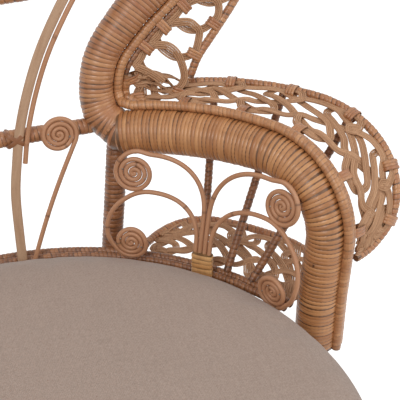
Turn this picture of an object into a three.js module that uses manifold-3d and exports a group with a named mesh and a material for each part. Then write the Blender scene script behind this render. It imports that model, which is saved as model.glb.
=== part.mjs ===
// A rattan peacock chair: a round cushioned seat on an hourglass base, a leaning fan back inside a
// thick wrapped roll, and wrapped arms that carry shelves of looped reed.
// Millimetres. The floor is z = 0, +Z is up, the chair faces -Y, and +X is the viewer's right.
import * as THREE from "three";
import { mergeVertices } from "three/addons/utils/BufferGeometryUtils.js";
import Module from "manifold-3d";

const wasm = await Module();
wasm.setup();

const degree = Math.PI / 180;
const turn = 2 * Math.PI;

// Driving dimensions
const seatLine = 455; // floor to the cushion's upper edge
const fit = 0.3; // gap left between pieces that touch
const weld = 1e-3; // vertices closer than this are one

// Cushion and deck
const cushionRadius = 287.5;
const cushionClearance = 0.5; // to whatever stands round it
const cushionDepth = 46; // seat line down to the cushion's underside
const cushionCrown = 27; // seat line up to the middle of its top
const cushionSeamDrop = 3; // seat line down to the edge seam
const cushionLean = 16; // how far the sides draw in under the seam
const deckThickness = 6;
const deckClearance = 4; // to the ribs round the deck

// Seat rails
const railThickness = 9;
const railDrop = 8; // seat line down to the rails' middle
const railEnd = 18.5 * degree; // from +X to where the rails end behind the arm's foot

// Scroll canes in the arms
const caneThickness = 5.2;
const collarWall = 1.2;
const collarRise = 25; // top of the collar above the seat line
const caneFootDrop = 12;
const fanAngle = 43.8 * degree; // where the fan of canes stands on the seat, from +X
const scrollClearance = 0.8; // between the turns of a scroll
const scrollRadius = 16.8; // middle of the outer turn
const scrollTurns = 2.4;
const archPower = 2.4; // fullness of the canes' arches
const leadPower = 1.7; // how a cane runs down into its scroll
const springShare = 1.3; // lowest spring of an arch, in collar heights
const fanRise = 127; // seat line to the top of the tallest cane
const fanCanes = {
  upper_rear: { row: -1, peak: 63, rise: 121, spring: 62, centre: 81, height: 99, lead: 100 * degree },
  upper_front: { row: 1, peak: 63, rise: 127, spring: 62, centre: 82, height: 105, lead: 100 * degree },
  lower_rear: { row: -2, peak: 62, rise: 80, spring: 32, centre: 83, height: 20, lead: 140 * degree },
  lower_front: { row: 2, peak: 67, rise: 86, spring: 32, centre: 90, height: 12, lead: 140 * degree },
};

// Arms
const armRollRear = 24; // radius of the roll at the back
const armRollFront = 20; // and down the front
const armHeight = 140; // seat line to the roll's middle
const armRearHeight = 129;
const armFrontAngle = 21.2 * degree;
const armRun = 246; // along the wall from the front run to the back
const bendLength = 84;
const bendDrop = 74;
const armFootDrop = 62; // the front run ends this far under the seat line
const armFlare = 8; // how far the arm leans out over its height
const armThinShares = [0.2, 0.7]; // along the arm, where the roll grows thinner
const beadThickness = 10.6;
const beadAngle = 70 * degree; // round the roll, from level
const beadSpreadShare = 1.12; // how far apart the two beads lie, in their own width
const beadCornerShare = 0.03; // along the arm, where the beads leave the back's corner

// Arm shelf
const rimThickness = 9.6;
const shelfWidth = 78; // bead to rim
const shelfRearTaperShare = 0.36;
const shelfStartShare = 0.112; // where along the arm the rim starts
const shelfEndShare = 0.74; // and where it closes on the front run
const reedGap = 0.9; // between the looped reed and what it is tied to
const reedWidth = 7;
const reedThickness = 2.4;
const reedSwing = 3.9; // over and under its neighbour
const evenShares = [1.25, 0.22]; // how the strand slows at the poles, so that its loops are round
const shelfReedShares = [0.02, 0.93]; // along the shelf, where its reed begins and ends
const shelfLoops = { pitchShare: 0.8, roundShare: 1.1 }; // of the strip's width

// Lower shelf
const lowerShelfDrop = 15;
const lowerShelfWidth = 92;
const lowerShelfRear = 60 * degree;
const lowerShelfFront = 23.5 * degree;
const lowerReedShares = [0.11, 0.9];

// Posts and struts
const postThickness = 24;
const postAngle = 66.2 * degree;
const postFootDrop = 42;
const postHead = { x: 153, up: 112 }; // on the back's plane
const strutThickness = 8.6;
const strutFeet = [45.4 * degree, 39.8 * degree, 34 * degree];
const strutHeadShares = [0.11, 0.34, 0.56]; // along the arm's rim

// Back
const backLean = 10 * degree;
const backFoot = 302; // seat centre back to the back's plane, at the seat line
const backHalfWidth = 390; // to the roll's middle
const backHeight = 905; // seat line up the plane to the roll's top
const backRollWaist = 18.5; // radius of the roll at its narrow waist
const backRollFull = 22.8;
const backBeadAngle = 12 * degree;
const backThinShares = [0.03, 0.1]; // along the roll, where it fills out from its waist
const backBeadShare = 0.032; // along the roll, where the bead comes over from the arm
const backReedShares = [0.05, 0.95]; // along the roll, where the looped reed begins and ends
const backRimShares = [0.012, 0.988]; // and along the rim
const backLoops = { pitchShare: 0.76, roundShare: 1 }; // of the strip's width
const backRailThickness = 18;
const lowerRailHeight = 135;
const upperRailHeight = 285;
const upperRailBow = 8;
const splatWidth = 10.4;
const splatThickness = 3.6;
const slimCaneThickness = 5.4;
const slimCaneStart = 104;
const backScroll = { x: 87, up: 134, radius: 18.4, footX: 41, footDrop: 13 };
const sunRadius = 78;
const sunThickness = 14;
const spokeThickness = 8;
const spokeSpread = 17 * degree;
const spokesEachSide = 2;
const spokeOverrun = 39; // a spoke is made this much too long, then cut to the roll

// Base
const ribThickness = 9;
const ribCount = 14;
const cageParts = 4;
const ribFullness = 1.7; // how the ribs' curve gathers at the waist
const ribSink = 2; // how far a rib is let into the hoops it meets
const waistRadius = 158;
const waistHeight = 222;
const hoopThickness = 14;
const waistHoopThickness = 20;
const floorRingRadius = 268;
const floorRingThickness = 24;

// Fineness of the round forms
const hoopSegments = 36;
const hoopSides = 8;
const cageSegments = 28;
const tubeSides = 6;
const stepsPerTurn = 13;
const loopSteps = 10;
const cushionSteps = { round: 36, top: 9, side: 4 };
const rollSteps = { back: 58, rim: 56, arm: 18, shelfRim: 24 };
const beadSteps = { arm: 16, corner: [0.4, 0.5, 0.6], back: 27 };
const ribSteps = 5; // from the waist to either end
const archSteps = 5;
const sunSteps = 12;
const splatSteps = 12;
const caneSides = 5;
const stripSamples = 240;
const ropeCheck = 4; // measuring points in each step of a wound strand

// Worked out from the sizes above
const caneStep = caneThickness + fit;
const scrollPitch = caneThickness + scrollClearance;
const flatness = Math.cos(Math.PI / hoopSegments); // how much nearer a hoop's flats are than its corners
const fanFootRadius = cushionRadius + cushionClearance + collarWall + fit + caneThickness / 2;
const railInnerRadius = (fanFootRadius + caneThickness / 2 + fit) / flatness + railThickness / 2;
const railOuterRadius = railInnerRadius + railThickness + fit;
const railFace = railOuterRadius + railThickness / 2;
const armRadius = railFace + fit + armRollFront;
const postRadius = railFace + fit + postThickness / 2;
const fanReach = armRadius + armFlare - armRollRear - fit - caneThickness / 2 - fanFootRadius;
const fanLeanShare = fanReach / (fanRise - collarRise);
const beadRadius = beadThickness / 2;
const rimRadius = rimThickness / 2;
const frontDepth = backRailThickness / 2 + fit; // front of the back rails

// The back's outline from waist to top: the roll's middle, then the rim's, as shares of half width
// and height.
const backOutlineShares = [
  [0.375, 0.14, 0.62, 0.19],
  [0.354, 0.17, 0.631, 0.2],
  [0.348, 0.2, 0.648, 0.214],
  [0.373, 0.234, 0.695, 0.239],
  [0.45, 0.274, 0.752, 0.269],
  [0.588, 0.328, 0.83, 0.316],
  [0.752, 0.4, 0.94, 0.382],
  [0.895, 0.488, 1.075, 0.466],
  [0.985, 0.59, 1.21, 0.574],
  [1.0, 0.694, 1.275, 0.706],
  [0.93, 0.803, 1.19, 0.853],
  [0.775, 0.902, 0.985, 0.985],
  [0.54, 0.967, 0.68, 1.075],
  [0.275, 0.994, 0.34, 1.122],
  [0, 1, 0, 1.136],
];
// The flat splat's line, as the same shares.
const splatShares = [
  [0.077, -0.014],
  [0.079, 0.03],
  [0.085, 0.084],
  [0.1, 0.122],
  [0.118, 0.158],
  [0.153, 0.204],
  [0.2, 0.25],
  [0.262, 0.295],
  [0.36, 0.355],
  [0.5, 0.445],
  [0.655, 0.555],
  [0.8, 0.68],
  [0.9, 0.79],
];

// The cushion's top from the middle outwards, as shares of its radius and crown, and its side from
// the seam down, as shares of its lean and depth.
const cushionTopShares = [[0, 1], [0.45, 0.93], [0.78, 0.7], [0.93, 0.43], [0.985, 0.17]];
const cushionSideShares = [[0.25, 0.5], [1, 0.9], [2, 1]];

// Colours of the finishes
const finish = {
  peel: new THREE.MeshStandardMaterial({ color: 0xb9824f, roughness: 0.55 }),
  darkPeel: new THREE.MeshStandardMaterial({ color: 0x8a5a36, roughness: 0.6 }),
  cane: new THREE.MeshStandardMaterial({ color: 0xb98a5e, roughness: 0.6 }),
  reed: new THREE.MeshStandardMaterial({ color: 0x9c7651, roughness: 0.7 }),
  splat: new THREE.MeshStandardMaterial({ color: 0xb8997a, roughness: 0.7 }),
  collar: new THREE.MeshStandardMaterial({ color: 0xc99a5b, roughness: 0.5 }),
  linen: new THREE.MeshStandardMaterial({ color: 0xaa988a, roughness: 0.95 }),
};

// Closed surfaces

function roundSection(radius, sides, start = 0) {
  return Array.from({ length: sides }, (_, i) => {
    const angle = start + (i * turn) / sides;
    return [radius * Math.cos(angle), radius * Math.sin(angle)];
  });
}

function flatSection(width, thickness) {
  const x = width / 2;
  const y = thickness / 2;
  return [[x, y], [-x, y], [-x, -y], [x, -y]];
}

function volumeOf(positions, faces) {
  let sum = 0;
  const [a, b, c] = [new THREE.Vector3(), new THREE.Vector3(), new THREE.Vector3()];
  for (let i = 0; i < faces.length; i += 3) {
    a.fromArray(positions, 3 * faces[i]);
    b.fromArray(positions, 3 * faces[i + 1]);
    c.fromArray(positions, 3 * faces[i + 2]);
    sum += a.dot(b.cross(c));
  }
  return sum;
}

// Rings of points joined side by side, with a flat end on the first and the last.
function surfaceOf(rings) {
  const sides = rings[0].length;
  const positions = rings.flat().flatMap((p) => p.toArray());
  const faces = [];
  for (let i = 0; i + 1 < rings.length; i++)
    for (let j = 0; j < sides; j++) {
      const [a, b] = [i * sides + j, i * sides + ((j + 1) % sides)];
      faces.push(a, b, b + sides, a, b + sides, a + sides);
    }
  const last = (rings.length - 1) * sides;
  for (let j = 1; j + 1 < sides; j++) faces.push(0, j + 1, j, last, last + j, last + j + 1);
  if (volumeOf(positions, faces) < 0) faces.reverse();
  const geometry = new THREE.BufferGeometry();
  geometry.setAttribute("position", new THREE.Float32BufferAttribute(positions, 3));
  geometry.setIndex(faces);
  return geometry;
}

// A section swept along points. Its second axis follows upAt, or is carried along without a twist.
function sweep(points, sectionAt, upAt) {
  let up = new THREE.Vector3(0, 0, 1);
  const rings = points.map((point, i) => {
    const before = points[Math.max(i - 1, 0)];
    const after = points[Math.min(i + 1, points.length - 1)];
    const along = after.clone().sub(before).normalize();
    if (upAt) up = upAt(i).clone();
    else if (i === 0 && Math.abs(along.z) > 0.9) up.set(0, 1, 0);
    up.addScaledVector(along, -up.dot(along)).normalize();
    const side = along.clone().cross(up);
    return sectionAt(i / (points.length - 1)).map(([x, y]) =>
      point.clone().addScaledVector(side, x).addScaledVector(up, y));
  });
  return surfaceOf(rings);
}

const tube = (points, radius, sides = tubeSides) => sweep(points, () => roundSection(radius, sides));

// The least gap a wound strand leaves to itself, measured between points along it that are
// further apart on the strand than the width given.
function leastGap(points, thickness, width) {
  const line = [];
  for (let i = 0; i + 1 < points.length; i++)
    for (let j = 0; j < ropeCheck; j++) line.push(points[i].clone().lerp(points[i + 1], j / ropeCheck));
  const reach = [0];
  for (let i = 1; i < line.length; i++) reach.push(reach[i - 1] + line[i].distanceTo(line[i - 1]));
  let least = Infinity;
  for (let i = 0; i < line.length; i++)
    for (let j = i + 1; j < line.length; j++)
      if (reach[j] - reach[i] > width) least = Math.min(least, line[i].distanceTo(line[j]));
  return least - thickness;
}

function wound(name, points, thickness, width) {
  console.log(name + ": least gap to itself " + leastGap(points, thickness, width).toFixed(2) + " mm");
  return points;
}

// A ring round the chair's axis, its polygon section flat at the top and the bottom.
function ring(radius, thickness, height, sides = hoopSides, segments = hoopSegments) {
  const half = Math.PI / sides;
  const profile = roundSection(thickness / 2 / Math.cos(half), sides, Math.PI / 2 - half)
    .map(([x, y]) => new THREE.Vector2(radius + x, y));
  profile.push(profile[0]);
  const geometry = new THREE.LatheGeometry(profile, segments);
  geometry.rotateX(Math.PI / 2);
  return geometry.translate(0, 0, height);
}

// Booleans

function solidOf(geometry) {
  const bare = new THREE.BufferGeometry();
  bare.setAttribute("position", geometry.getAttribute("position"));
  bare.setIndex(geometry.index);
  const merged = mergeVertices(bare, weld);
  return new wasm.Manifold(new wasm.Mesh({
    numProp: 3,
    vertProperties: merged.attributes.position.array,
    triVerts: new Uint32Array(merged.index.array),
  }));
}

// The largest body of a solid, as a geometry.
function geometryOf(solid) {
  const bodies = solid.decompose().sort((a, b) => b.volume() - a.volume());
  const mesh = bodies[0].getMesh();
  const geometry = new THREE.BufferGeometry();
  geometry.setAttribute("position", new THREE.BufferAttribute(mesh.vertProperties, 3));
  return geometry.setIndex(new THREE.BufferAttribute(mesh.triVerts, 1));
}

const cut = (geometry, ...tools) =>
  geometryOf(tools.reduce((left, tool) => left.subtract(solidOf(tool)), solidOf(geometry)));

const shared = (geometry, room) => geometryOf(solidOf(geometry).intersect(solidOf(room)));

const join = (geometries) =>
  geometryOf(geometries.map(solidOf).reduce((all, one) => all.add(one)));

// Places

const polar = (radius, angle, height) =>
  new THREE.Vector3(radius * Math.cos(angle), radius * Math.sin(angle), seatLine + height);

// The back's plane: x across, up along the plane from the seat line, depth to the rear.
const onBack = (x, up, depth = 0) =>
  new THREE.Vector3(
    x,
    backFoot + up * Math.sin(backLean) + depth * Math.cos(backLean),
    seatLine + up * Math.cos(backLean) - depth * Math.sin(backLean),
  );
const backNormal = onBack(0, 0, 1).sub(onBack(0, 0));

function backCurve(shares, columnX, columnUp, mirrored) {
  const half = shares.map((row) => onBack(row[columnX] * backHalfWidth, row[columnUp] * backHeight));
  const other = half.slice(0, -1).reverse().map((p) => new THREE.Vector3(-p.x, p.y, p.z));
  return new THREE.CatmullRomCurve3(mirrored ? [...half, ...other] : half);
}
const backRollCurve = backCurve(backOutlineShares, 0, 1, true);
const backRimCurve = backCurve(backOutlineShares, 2, 3, true);

// The arm's wall: along it from the front run to the rear, and height from the seat line.
const armWall = new THREE.Path();
armWall.moveTo(armRun, armRearHeight);
armWall.quadraticCurveTo((armRun + bendLength) / 2, armHeight, bendLength, armHeight);
armWall.absellipse(bendLength, armHeight - bendDrop, bendLength, bendDrop, Math.PI / 2, Math.PI);
armWall.lineTo(0, -armFootDrop);

function armCentre(share) {
  const wall = armWall.getPointAt(THREE.MathUtils.clamp(share, 0, 1));
  const radius = armRadius + (armFlare * Math.max(wall.y, 0)) / armHeight;
  return polar(radius, armFrontAngle + wall.x / armRadius, wall.y);
}

// The arm's frame at a share of its length: outwards, and round the outside of its curve.
function armFrame(share) {
  const step = 0.004;
  const at = THREE.MathUtils.clamp(share, step, 1 - step);
  const along = armCentre(at + step).sub(armCentre(at - step)).normalize();
  const centre = armCentre(share);
  const out = new THREE.Vector3(centre.x, centre.y, 0).normalize();
  const crown = along.clone().cross(out).normalize();
  return { centre, out, crown };
}

const armRollRadius = (share) =>
  THREE.MathUtils.lerp(armRollRear, armRollFront, THREE.MathUtils.smoothstep(share, ...armThinShares));

function armPoint(share, outwards, crownwards) {
  const { centre, out, crown } = armFrame(share);
  return centre.addScaledVector(out, outwards).addScaledVector(crown, crownwards);
}

// A bead laid on the roll at an angle round it.
function beadPoint(share, angle) {
  const reach = armRollRadius(share) + beadRadius + 2 * fit;
  return armPoint(share, reach * Math.cos(angle), reach * Math.sin(angle));
}
const beadStepAngle = 2 * Math.asin((beadThickness + fit) / 2 / (armRollRear + beadRadius + fit));
const outerBeadAngle = beadAngle - beadStepAngle * beadSpreadShare;

// Looped reed: one strand that loops from the inner pole to the rim and crosses its own last loop,
// passing over and under by turns. A strip gives the two edges and the normal at a share of its
// length; the loops keep their shape as the strip's width changes.
function loopedReed(name, strip, { pitchShare, roundShare }) {
  const samples = stripSamples;
  const reach = [0];
  const middle = (share) => strip(share).inner.lerp(strip(share).outer, 0.5);
  const width = (share) => strip(share).inner.distanceTo(strip(share).outer);
  for (let i = 1; i <= samples; i++) {
    const step = middle(i / samples).distanceTo(middle((i - 1) / samples));
    reach.push(reach[i - 1] + step / width((i - 0.5) / samples));
  }
  const shareAt = (wanted) => {
    const found = THREE.MathUtils.clamp(reach.findIndex((value) => value >= wanted), 1, samples);
    const part = (wanted - reach[found - 1]) / (reach[found] - reach[found - 1]);
    return (found - 1 + part) / samples;
  };
  const swell = roundShare / 2;
  const room = reach[samples] - 2 * swell;
  const loops = Math.round(room / pitchShare);
  const pitch = room / loops;
  const points = [];
  const normals = [];
  for (let i = 0; i <= (loops + 1) * loopSteps; i++) {
    const phase = (i / loopSteps) * turn;
    const even = phase + evenShares[0] * Math.sin(phase) - evenShares[1] * Math.sin(2 * phase);
    const place = swell + ((even - Math.PI) / turn) * pitch + swell * Math.sin(phase);
    const at = strip(shareAt(THREE.MathUtils.clamp(place, weld, reach[samples] - weld)));
    const point = at.inner.clone().lerp(at.outer, 0.5 - 0.5 * Math.cos(phase));
    points.push(point.addScaledVector(at.normal, -reedSwing * Math.sin(3 * phase)));
    normals.push(at.normal);
  }
  const line = points.slice(1, -1);
  wound(name, line, reedThickness, 2 * reedWidth);
  return sweep(line, () => flatSection(reedWidth, reedThickness), (at) => normals[at + 1]);
}

// Parts

const chair = new THREE.Group();

function add(name, geometry, material, parent = chair) {
  const mesh = new THREE.Mesh(geometry, material);
  mesh.name = name;
  parent.add(mesh);
  return mesh;
}

// The seat

function cushion() {
  const radius = cushionRadius;
  const seam = new THREE.Vector2(radius, -cushionSeamDrop);
  const top = new THREE.SplineCurve([
    ...cushionTopShares.map(([out, up]) => new THREE.Vector2(radius * out, cushionCrown * up)),
    seam,
  ]);
  const side = new THREE.SplineCurve([
    seam,
    ...cushionSideShares.map(([lean, drop]) => new THREE.Vector2(radius - cushionLean * lean, -cushionDepth * drop)),
  ]);
  const under = new THREE.Vector2(0, -cushionDepth);
  const profile = [...top.getPoints(cushionSteps.top), ...side.getPoints(cushionSteps.side).slice(1), under];
  const geometry = new THREE.LatheGeometry(profile.reverse(), cushionSteps.round);
  geometry.rotateX(Math.PI / 2);
  return geometry.translate(0, 0, seatLine);
}

const deckRadius = railInnerRadius - ribThickness / 2 - deckClearance;
const deckTop = seatLine - cushionDepth - fit;

function deck() {
  const geometry = new THREE.CylinderGeometry(deckRadius, deckRadius, deckThickness, hoopSegments);
  geometry.rotateX(Math.PI / 2);
  return geometry.translate(0, 0, deckTop - deckThickness / 2);
}

// A rail from one arm's foot round the back to the other's, its section flat on all four sides.
function seatRail(radius, extra = 0) {
  const half = Math.PI / hoopSides;
  const section = roundSection((railThickness / 2 + extra) / Math.cos(half), hoopSides, half);
  const steps = Math.ceil((hoopSegments * (Math.PI - 2 * railEnd)) / turn);
  const points = Array.from({ length: steps + 1 }, (_, i) =>
    polar(radius, THREE.MathUtils.lerp(railEnd, Math.PI - railEnd, i / steps), -railDrop));
  return sweep(points, () => section, () => new THREE.Vector3(0, 0, 1));
}

function seat() {
  add("seat_rail_inner", seatRail(railInnerRadius), finish.darkPeel);
  add("seat_rail_outer", seatRail(railOuterRadius), finish.darkPeel);
  add("seat_deck", deck(), finish.reed);
  add("seat_cushion", cushion(), finish.linen);
}

// The base

const hoopHeight = deckTop - deckThickness - fit - hoopThickness / 2;
const hoopRadius = railInnerRadius - ribThickness / 2 - hoopThickness / 2 + ribSink;
const waistInnerRadius = waistRadius - ribThickness / 2 - hoopThickness / 2 + ribSink;
const waistHoopCorner = waistHoopThickness / 2 / Math.cos(Math.PI / tubeSides);
const waistHoopRadius = (waistRadius + ribThickness / 2 + fit) / flatness + waistHoopCorner;

// A rib: in from the hoop under the deck to the waist and out again to the floor ring. Those at the
// back run on up past the hoop and carry the seat rails.
function rib(index) {
  const angle = ((index + 0.5) * turn) / ribCount;
  const tall = Math.sin(angle) > Math.sin(railEnd);
  const headRadius = tall ? railInnerRadius : hoopRadius;
  const points = tall ? [polar(railInnerRadius, angle, -railDrop - railThickness / 2 - fit)] : [];
  for (let i = 0; i <= 2 * ribSteps; i++) {
    const share = 1 - i / ribSteps;
    const [radius, height] = share > 0 ? [headRadius, hoopHeight] : [floorRingRadius, floorRingThickness / 2];
    points.push(polar(
      waistRadius + (radius - waistRadius) * Math.abs(share) ** ribFullness,
      angle,
      waistHeight + (height - waistHeight) * Math.abs(share) - seatLine,
    ));
  }
  return tube(points, ribThickness / 2, 4);
}

// The room between two upright planes through the axis, less half a gap at each.
function wedge(from, to) {
  const reach = 2 * floorRingRadius;
  const middle = (from + to) / 2;
  const inset = fit / 2 / Math.sin((to - from) / 2);
  const corners = [from, middle, to].map((angle) =>
    new THREE.Vector2(reach * Math.cos(angle), reach * Math.sin(angle)));
  const shape = new THREE.Shape([new THREE.Vector2(), ...corners]);
  const geometry = new THREE.ExtrudeGeometry(shape, { depth: seatLine, bevelEnabled: false });
  return mergeVertices(geometry.translate(inset * Math.cos(middle), inset * Math.sin(middle), 0));
}

// The cage stands in four parts, each with its ribs and its length of both inner hoops.
function base() {
  const hoop = ring(hoopRadius, hoopThickness, hoopHeight, tubeSides, cageSegments);
  const waist = ring(waistInnerRadius, hoopThickness, waistHeight, tubeSides, cageSegments);
  const floorTool = ring(floorRingRadius, floorRingThickness + 2 * fit, floorRingThickness / 2);
  for (let part = 0; part < cageParts; part++) {
    const [first, next] = [part, part + 1].map((index) => Math.floor((index * ribCount) / cageParts));
    const ribs = Array.from({ length: next - first }, (_, i) => rib(first + i));
    const room = wedge((first * turn) / ribCount, (next * turn) / ribCount);
    const hoops = [hoop, waist].map((geometry) => shared(geometry, room));
    add("base_cage_" + (part + 1), cut(join([...ribs, ...hoops]), floorTool), finish.cane);
  }
  add("waist_hoop", ring(waistHoopRadius, waistHoopThickness, waistHeight, tubeSides), finish.peel);
  add("floor_ring", ring(floorRingRadius, floorRingThickness, floorRingThickness / 2), finish.darkPeel);
}

// The back

// Half the roll's thickness at a share of its length, drawn in at both waists.
function backRollRadius(share, extra = 0) {
  const fromEnd = Math.min(share, 1 - share);
  const fullness = THREE.MathUtils.smoothstep(fromEnd, ...backThinShares);
  return extra + THREE.MathUtils.lerp(backRollWaist, backRollFull, fullness);
}

function backRoll(extra) {
  const points = backRollCurve.getSpacedPoints(rollSteps.back);
  return sweep(points, (share) => roundSection(backRollRadius(share, extra), 8), () => backNormal);
}

function backRim() {
  const points = backRimCurve.getSpacedPoints(rollSteps.rim);
  return sweep(points, () => roundSection(rimRadius, tubeSides), () => backNormal);
}

// The outline's outward direction in the back's plane.
const outwards = (curve, share) => backNormal.clone().cross(curve.getTangentAt(share)).normalize();

// The line of the bead on the roll, or a line further out beside it.
function backBeadPoint(at, beside = 0) {
  const reach = backRollRadius(at) + beadRadius + fit;
  return backRollCurve.getPointAt(at)
    .addScaledVector(outwards(backRollCurve, at), reach * Math.cos(backBeadAngle) + beside)
    .addScaledVector(backNormal, -reach * Math.sin(backBeadAngle));
}

// The strip of looped reed between the bead and the rim, from one corner over the top to the other.
function backStrip(share) {
  const at = THREE.MathUtils.lerp(...backReedShares, share);
  const rimAt = THREE.MathUtils.lerp(...backRimShares, share);
  const rim = backRimCurve.getPointAt(rimAt);
  return {
    inner: backBeadPoint(at, beadRadius + fit + reedWidth / 2),
    outer: rim.addScaledVector(outwards(backRimCurve, rimAt), -rimRadius - reedGap - reedWidth / 2),
    normal: backNormal,
  };
}

// The bead: up the arm from its foot, round the corner, over the back and down the other arm.
function edgeBead() {
  const between = (from, to, steps, pointAt) =>
    Array.from({ length: steps + 1 }, (_, i) => pointAt(THREE.MathUtils.lerp(from, to, i / steps)));
  const arm = between(1, beadCornerShare, beadSteps.arm, (share) => beadPoint(share, beadAngle));
  const back = between(backBeadShare, 1 / 2, beadSteps.back, (share) => backBeadPoint(share));
  const corner = new THREE.CatmullRomCurve3([arm.at(-2), arm.at(-1), back[0], back[1]]);
  const turned = beadSteps.corner.map((share) => corner.getPoint(share));
  const half = [...arm, ...turned, ...back];
  const other = half.slice(0, -1).reverse().map((p) => new THREE.Vector3(-p.x, p.y, p.z));
  return tube([...half, ...other], beadRadius);
}

const splatDepth = -frontDepth - splatThickness / 2;

// The splat's line moved sideways in the back's plane, above a height.
function splatCurve(from, shift, depth) {
  const points = splatShares
    .map(([x, up]) => new THREE.Vector2(x * backHalfWidth, up * backHeight))
    .filter((point) => point.y >= from);
  return new THREE.CatmullRomCurve3(points.map((point, i) => {
    const next = points[Math.min(i + 1, points.length - 1)];
    const last = points[Math.max(i - 1, 0)];
    const side = new THREE.Vector2(next.y - last.y, last.x - next.x).normalize();
    return onBack(point.x + side.x * shift, point.y + side.y * shift, depth);
  }));
}

function flatSplat() {
  const points = splatCurve(-backHeight, 0, splatDepth).getPoints(splatSteps);
  return sweep(points, () => flatSection(splatWidth, splatThickness), () => backNormal);
}

function slimCane() {
  const shift = (splatWidth + slimCaneThickness) / 2 + reedGap;
  const depth = -frontDepth - slimCaneThickness / 2;
  return tube(splatCurve(slimCaneStart, shift, depth).getPoints(splatSteps), slimCaneThickness / 2, caneSides);
}

// A cane that climbs straight from the seat, meets its scroll from the outside and winds inwards.
function backScrollCane() {
  const { x, up, radius, footX, footDrop } = backScroll;
  const away = new THREE.Vector2(footX - x, -footDrop - up);
  const touch = away.angle() - turn + Math.acos(radius / away.length());
  const onScroll = (reach, angle) => [x + reach * Math.cos(angle), up + reach * Math.sin(angle)];
  const first = onScroll(radius, touch);
  const points = [0, 0.25, 0.5, 0.75].map((share) =>
    [THREE.MathUtils.lerp(footX, first[0], share), THREE.MathUtils.lerp(-footDrop, first[1], share)]);
  for (let i = 0; i <= scrollTurns * stepsPerTurn; i++) {
    const turns = i / stepsPerTurn;
    points.push(onScroll(radius - scrollPitch * turns, touch + turns * turn));
  }
  const depth = -frontDepth - caneThickness / 2;
  const line = points.map(([px, py]) => onBack(px, py, depth));
  return tube(wound("back scroll", line, caneThickness, 3 * caneThickness), caneThickness / 2, caneSides);
}

const sunCentre = upperRailHeight + backRailThickness / 2;

function sunArch(railTool) {
  const points = Array.from({ length: sunSteps + 1 }, (_, i) => {
    const angle = (i / sunSteps) * Math.PI;
    return onBack(sunRadius * Math.cos(angle), sunCentre + sunRadius * Math.sin(angle));
  });
  return cut(tube(points, sunThickness / 2), railTool);
}

// A spoke from the arch to the roll.
function spoke(index, rollTool) {
  const angle = Math.PI / 2 - index * spokeSpread;
  const reach = backHeight - sunCentre + spokeOverrun;
  const point = (length) => onBack(length * Math.cos(angle), sunCentre + length * Math.sin(angle));
  const line = [point(sunRadius + sunThickness / 2 + fit), point(reach)];
  return cut(tube(line, spokeThickness / 2, caneSides), rollTool);
}

function backRail(up, reach, bow, extra) {
  const points = [-1, -0.5, 0, 0.5, 1].map((share) => onBack(share * reach, up + bow * share * share));
  return tube(points, backRailThickness / 2 + extra, 8);
}

const lowerRailReach = backOutlineShares[0][0] * backHalfWidth;
const upperRailReach = backOutlineShares[4][0] * backHalfWidth + backRollFull;
const lowerRail = (extra) => backRail(lowerRailHeight, lowerRailReach, 0, extra);
const upperRail = (extra) => backRail(upperRailHeight, upperRailReach, upperRailBow, extra);

function back(rollTool) {
  add("back_roll", backRoll(0), finish.peel);
  add("edge_bead", edgeBead(), finish.peel);
  add("back_rim", backRim(), finish.darkPeel);
  add("back_lattice", loopedReed("back lattice", backStrip, backLoops), finish.reed);
  add("back_lower_rail", cut(lowerRail(0), rollTool), finish.peel);
  add("back_upper_rail", cut(upperRail(0), rollTool), finish.peel);
  add("sun_arch", sunArch(upperRail(fit)), finish.peel);
  for (let i = -spokesEachSide; i <= spokesEachSide; i++)
    add("fan_spoke_" + (i + spokesEachSide + 1), spoke(i, rollTool), finish.cane);
}

// One side: built at +X and mirrored for the other.

function fanPoint(along, height) {
  const lean = fanLeanShare * Math.max(height - collarRise, 0);
  return polar(fanFootRadius + lean, fanAngle - along / fanFootRadius, height);
}

// A scroll cane's line on the fan: up from its foot, over an arch and down into its scroll.
function caneLine({ row, peak, rise, spring, centre, height, lead }) {
  const foot = caneStep * (Math.abs(row) - 0.5);
  const points = [[foot, -caneFootDrop], [foot, collarRise], [foot, Math.max(spring, springShare * collarRise)]];
  for (let i = 1; i <= archSteps; i++) {
    const angle = (i / archSteps) * (Math.PI / 2);
    const across = Math.cos(angle) ** (2 / archPower);
    const up = Math.sin(angle) ** (2 / archPower);
    points.push([peak - (peak - foot) * across, THREE.MathUtils.lerp(points[2][1], rise, up)]);
  }
  const start = Math.atan2(rise - height, peak - centre);
  const surplus = Math.hypot(rise - height, peak - centre) - scrollRadius;
  const full = scrollTurns * turn + lead / 2;
  for (let i = 1; i <= (full / turn) * stepsPerTurn; i++) {
    const wind = (i / stepsPerTurn) * turn;
    const left = Math.max(1 - wind / lead, 0);
    const settled = Math.max(wind - lead / 2, 0) / turn;
    const radius = scrollRadius + surplus * left ** leadPower - scrollPitch * settled;
    points.push([centre + radius * Math.cos(start - wind), height + radius * Math.sin(start - wind)]);
  }
  return points.map(([along, up]) => fanPoint(Math.sign(row) * along, up));
}

const scrollCane = (name, cane) =>
  tube(wound(name + " scroll", caneLine(cane), caneThickness, 3 * caneThickness), caneThickness / 2, caneSides);

// The peel collar round the four canes' feet: a flat sleeve that stands on the seat rail.
function collar(railTool) {
  const halfSpan = 2 * caneStep + fit;
  const halfDepth = caneThickness / 2 + fit;
  const box = (x, y) => [[-x, -y], [x, -y], [x, y], [-x, y]].map(([a, b]) => new THREE.Vector2(a, b));
  const shape = new THREE.Shape(box(halfSpan + collarWall, halfDepth + collarWall));
  shape.holes.push(new THREE.Path(box(halfSpan, halfDepth)));
  const depth = collarRise + railDrop;
  const geometry = new THREE.ExtrudeGeometry(shape, { depth, bevelEnabled: false });
  geometry.rotateZ(fanAngle - Math.PI / 2);
  const foot = polar(fanFootRadius, fanAngle, -railDrop);
  return cut(mergeVertices(geometry.translate(foot.x, foot.y, foot.z)), railTool);
}

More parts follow.
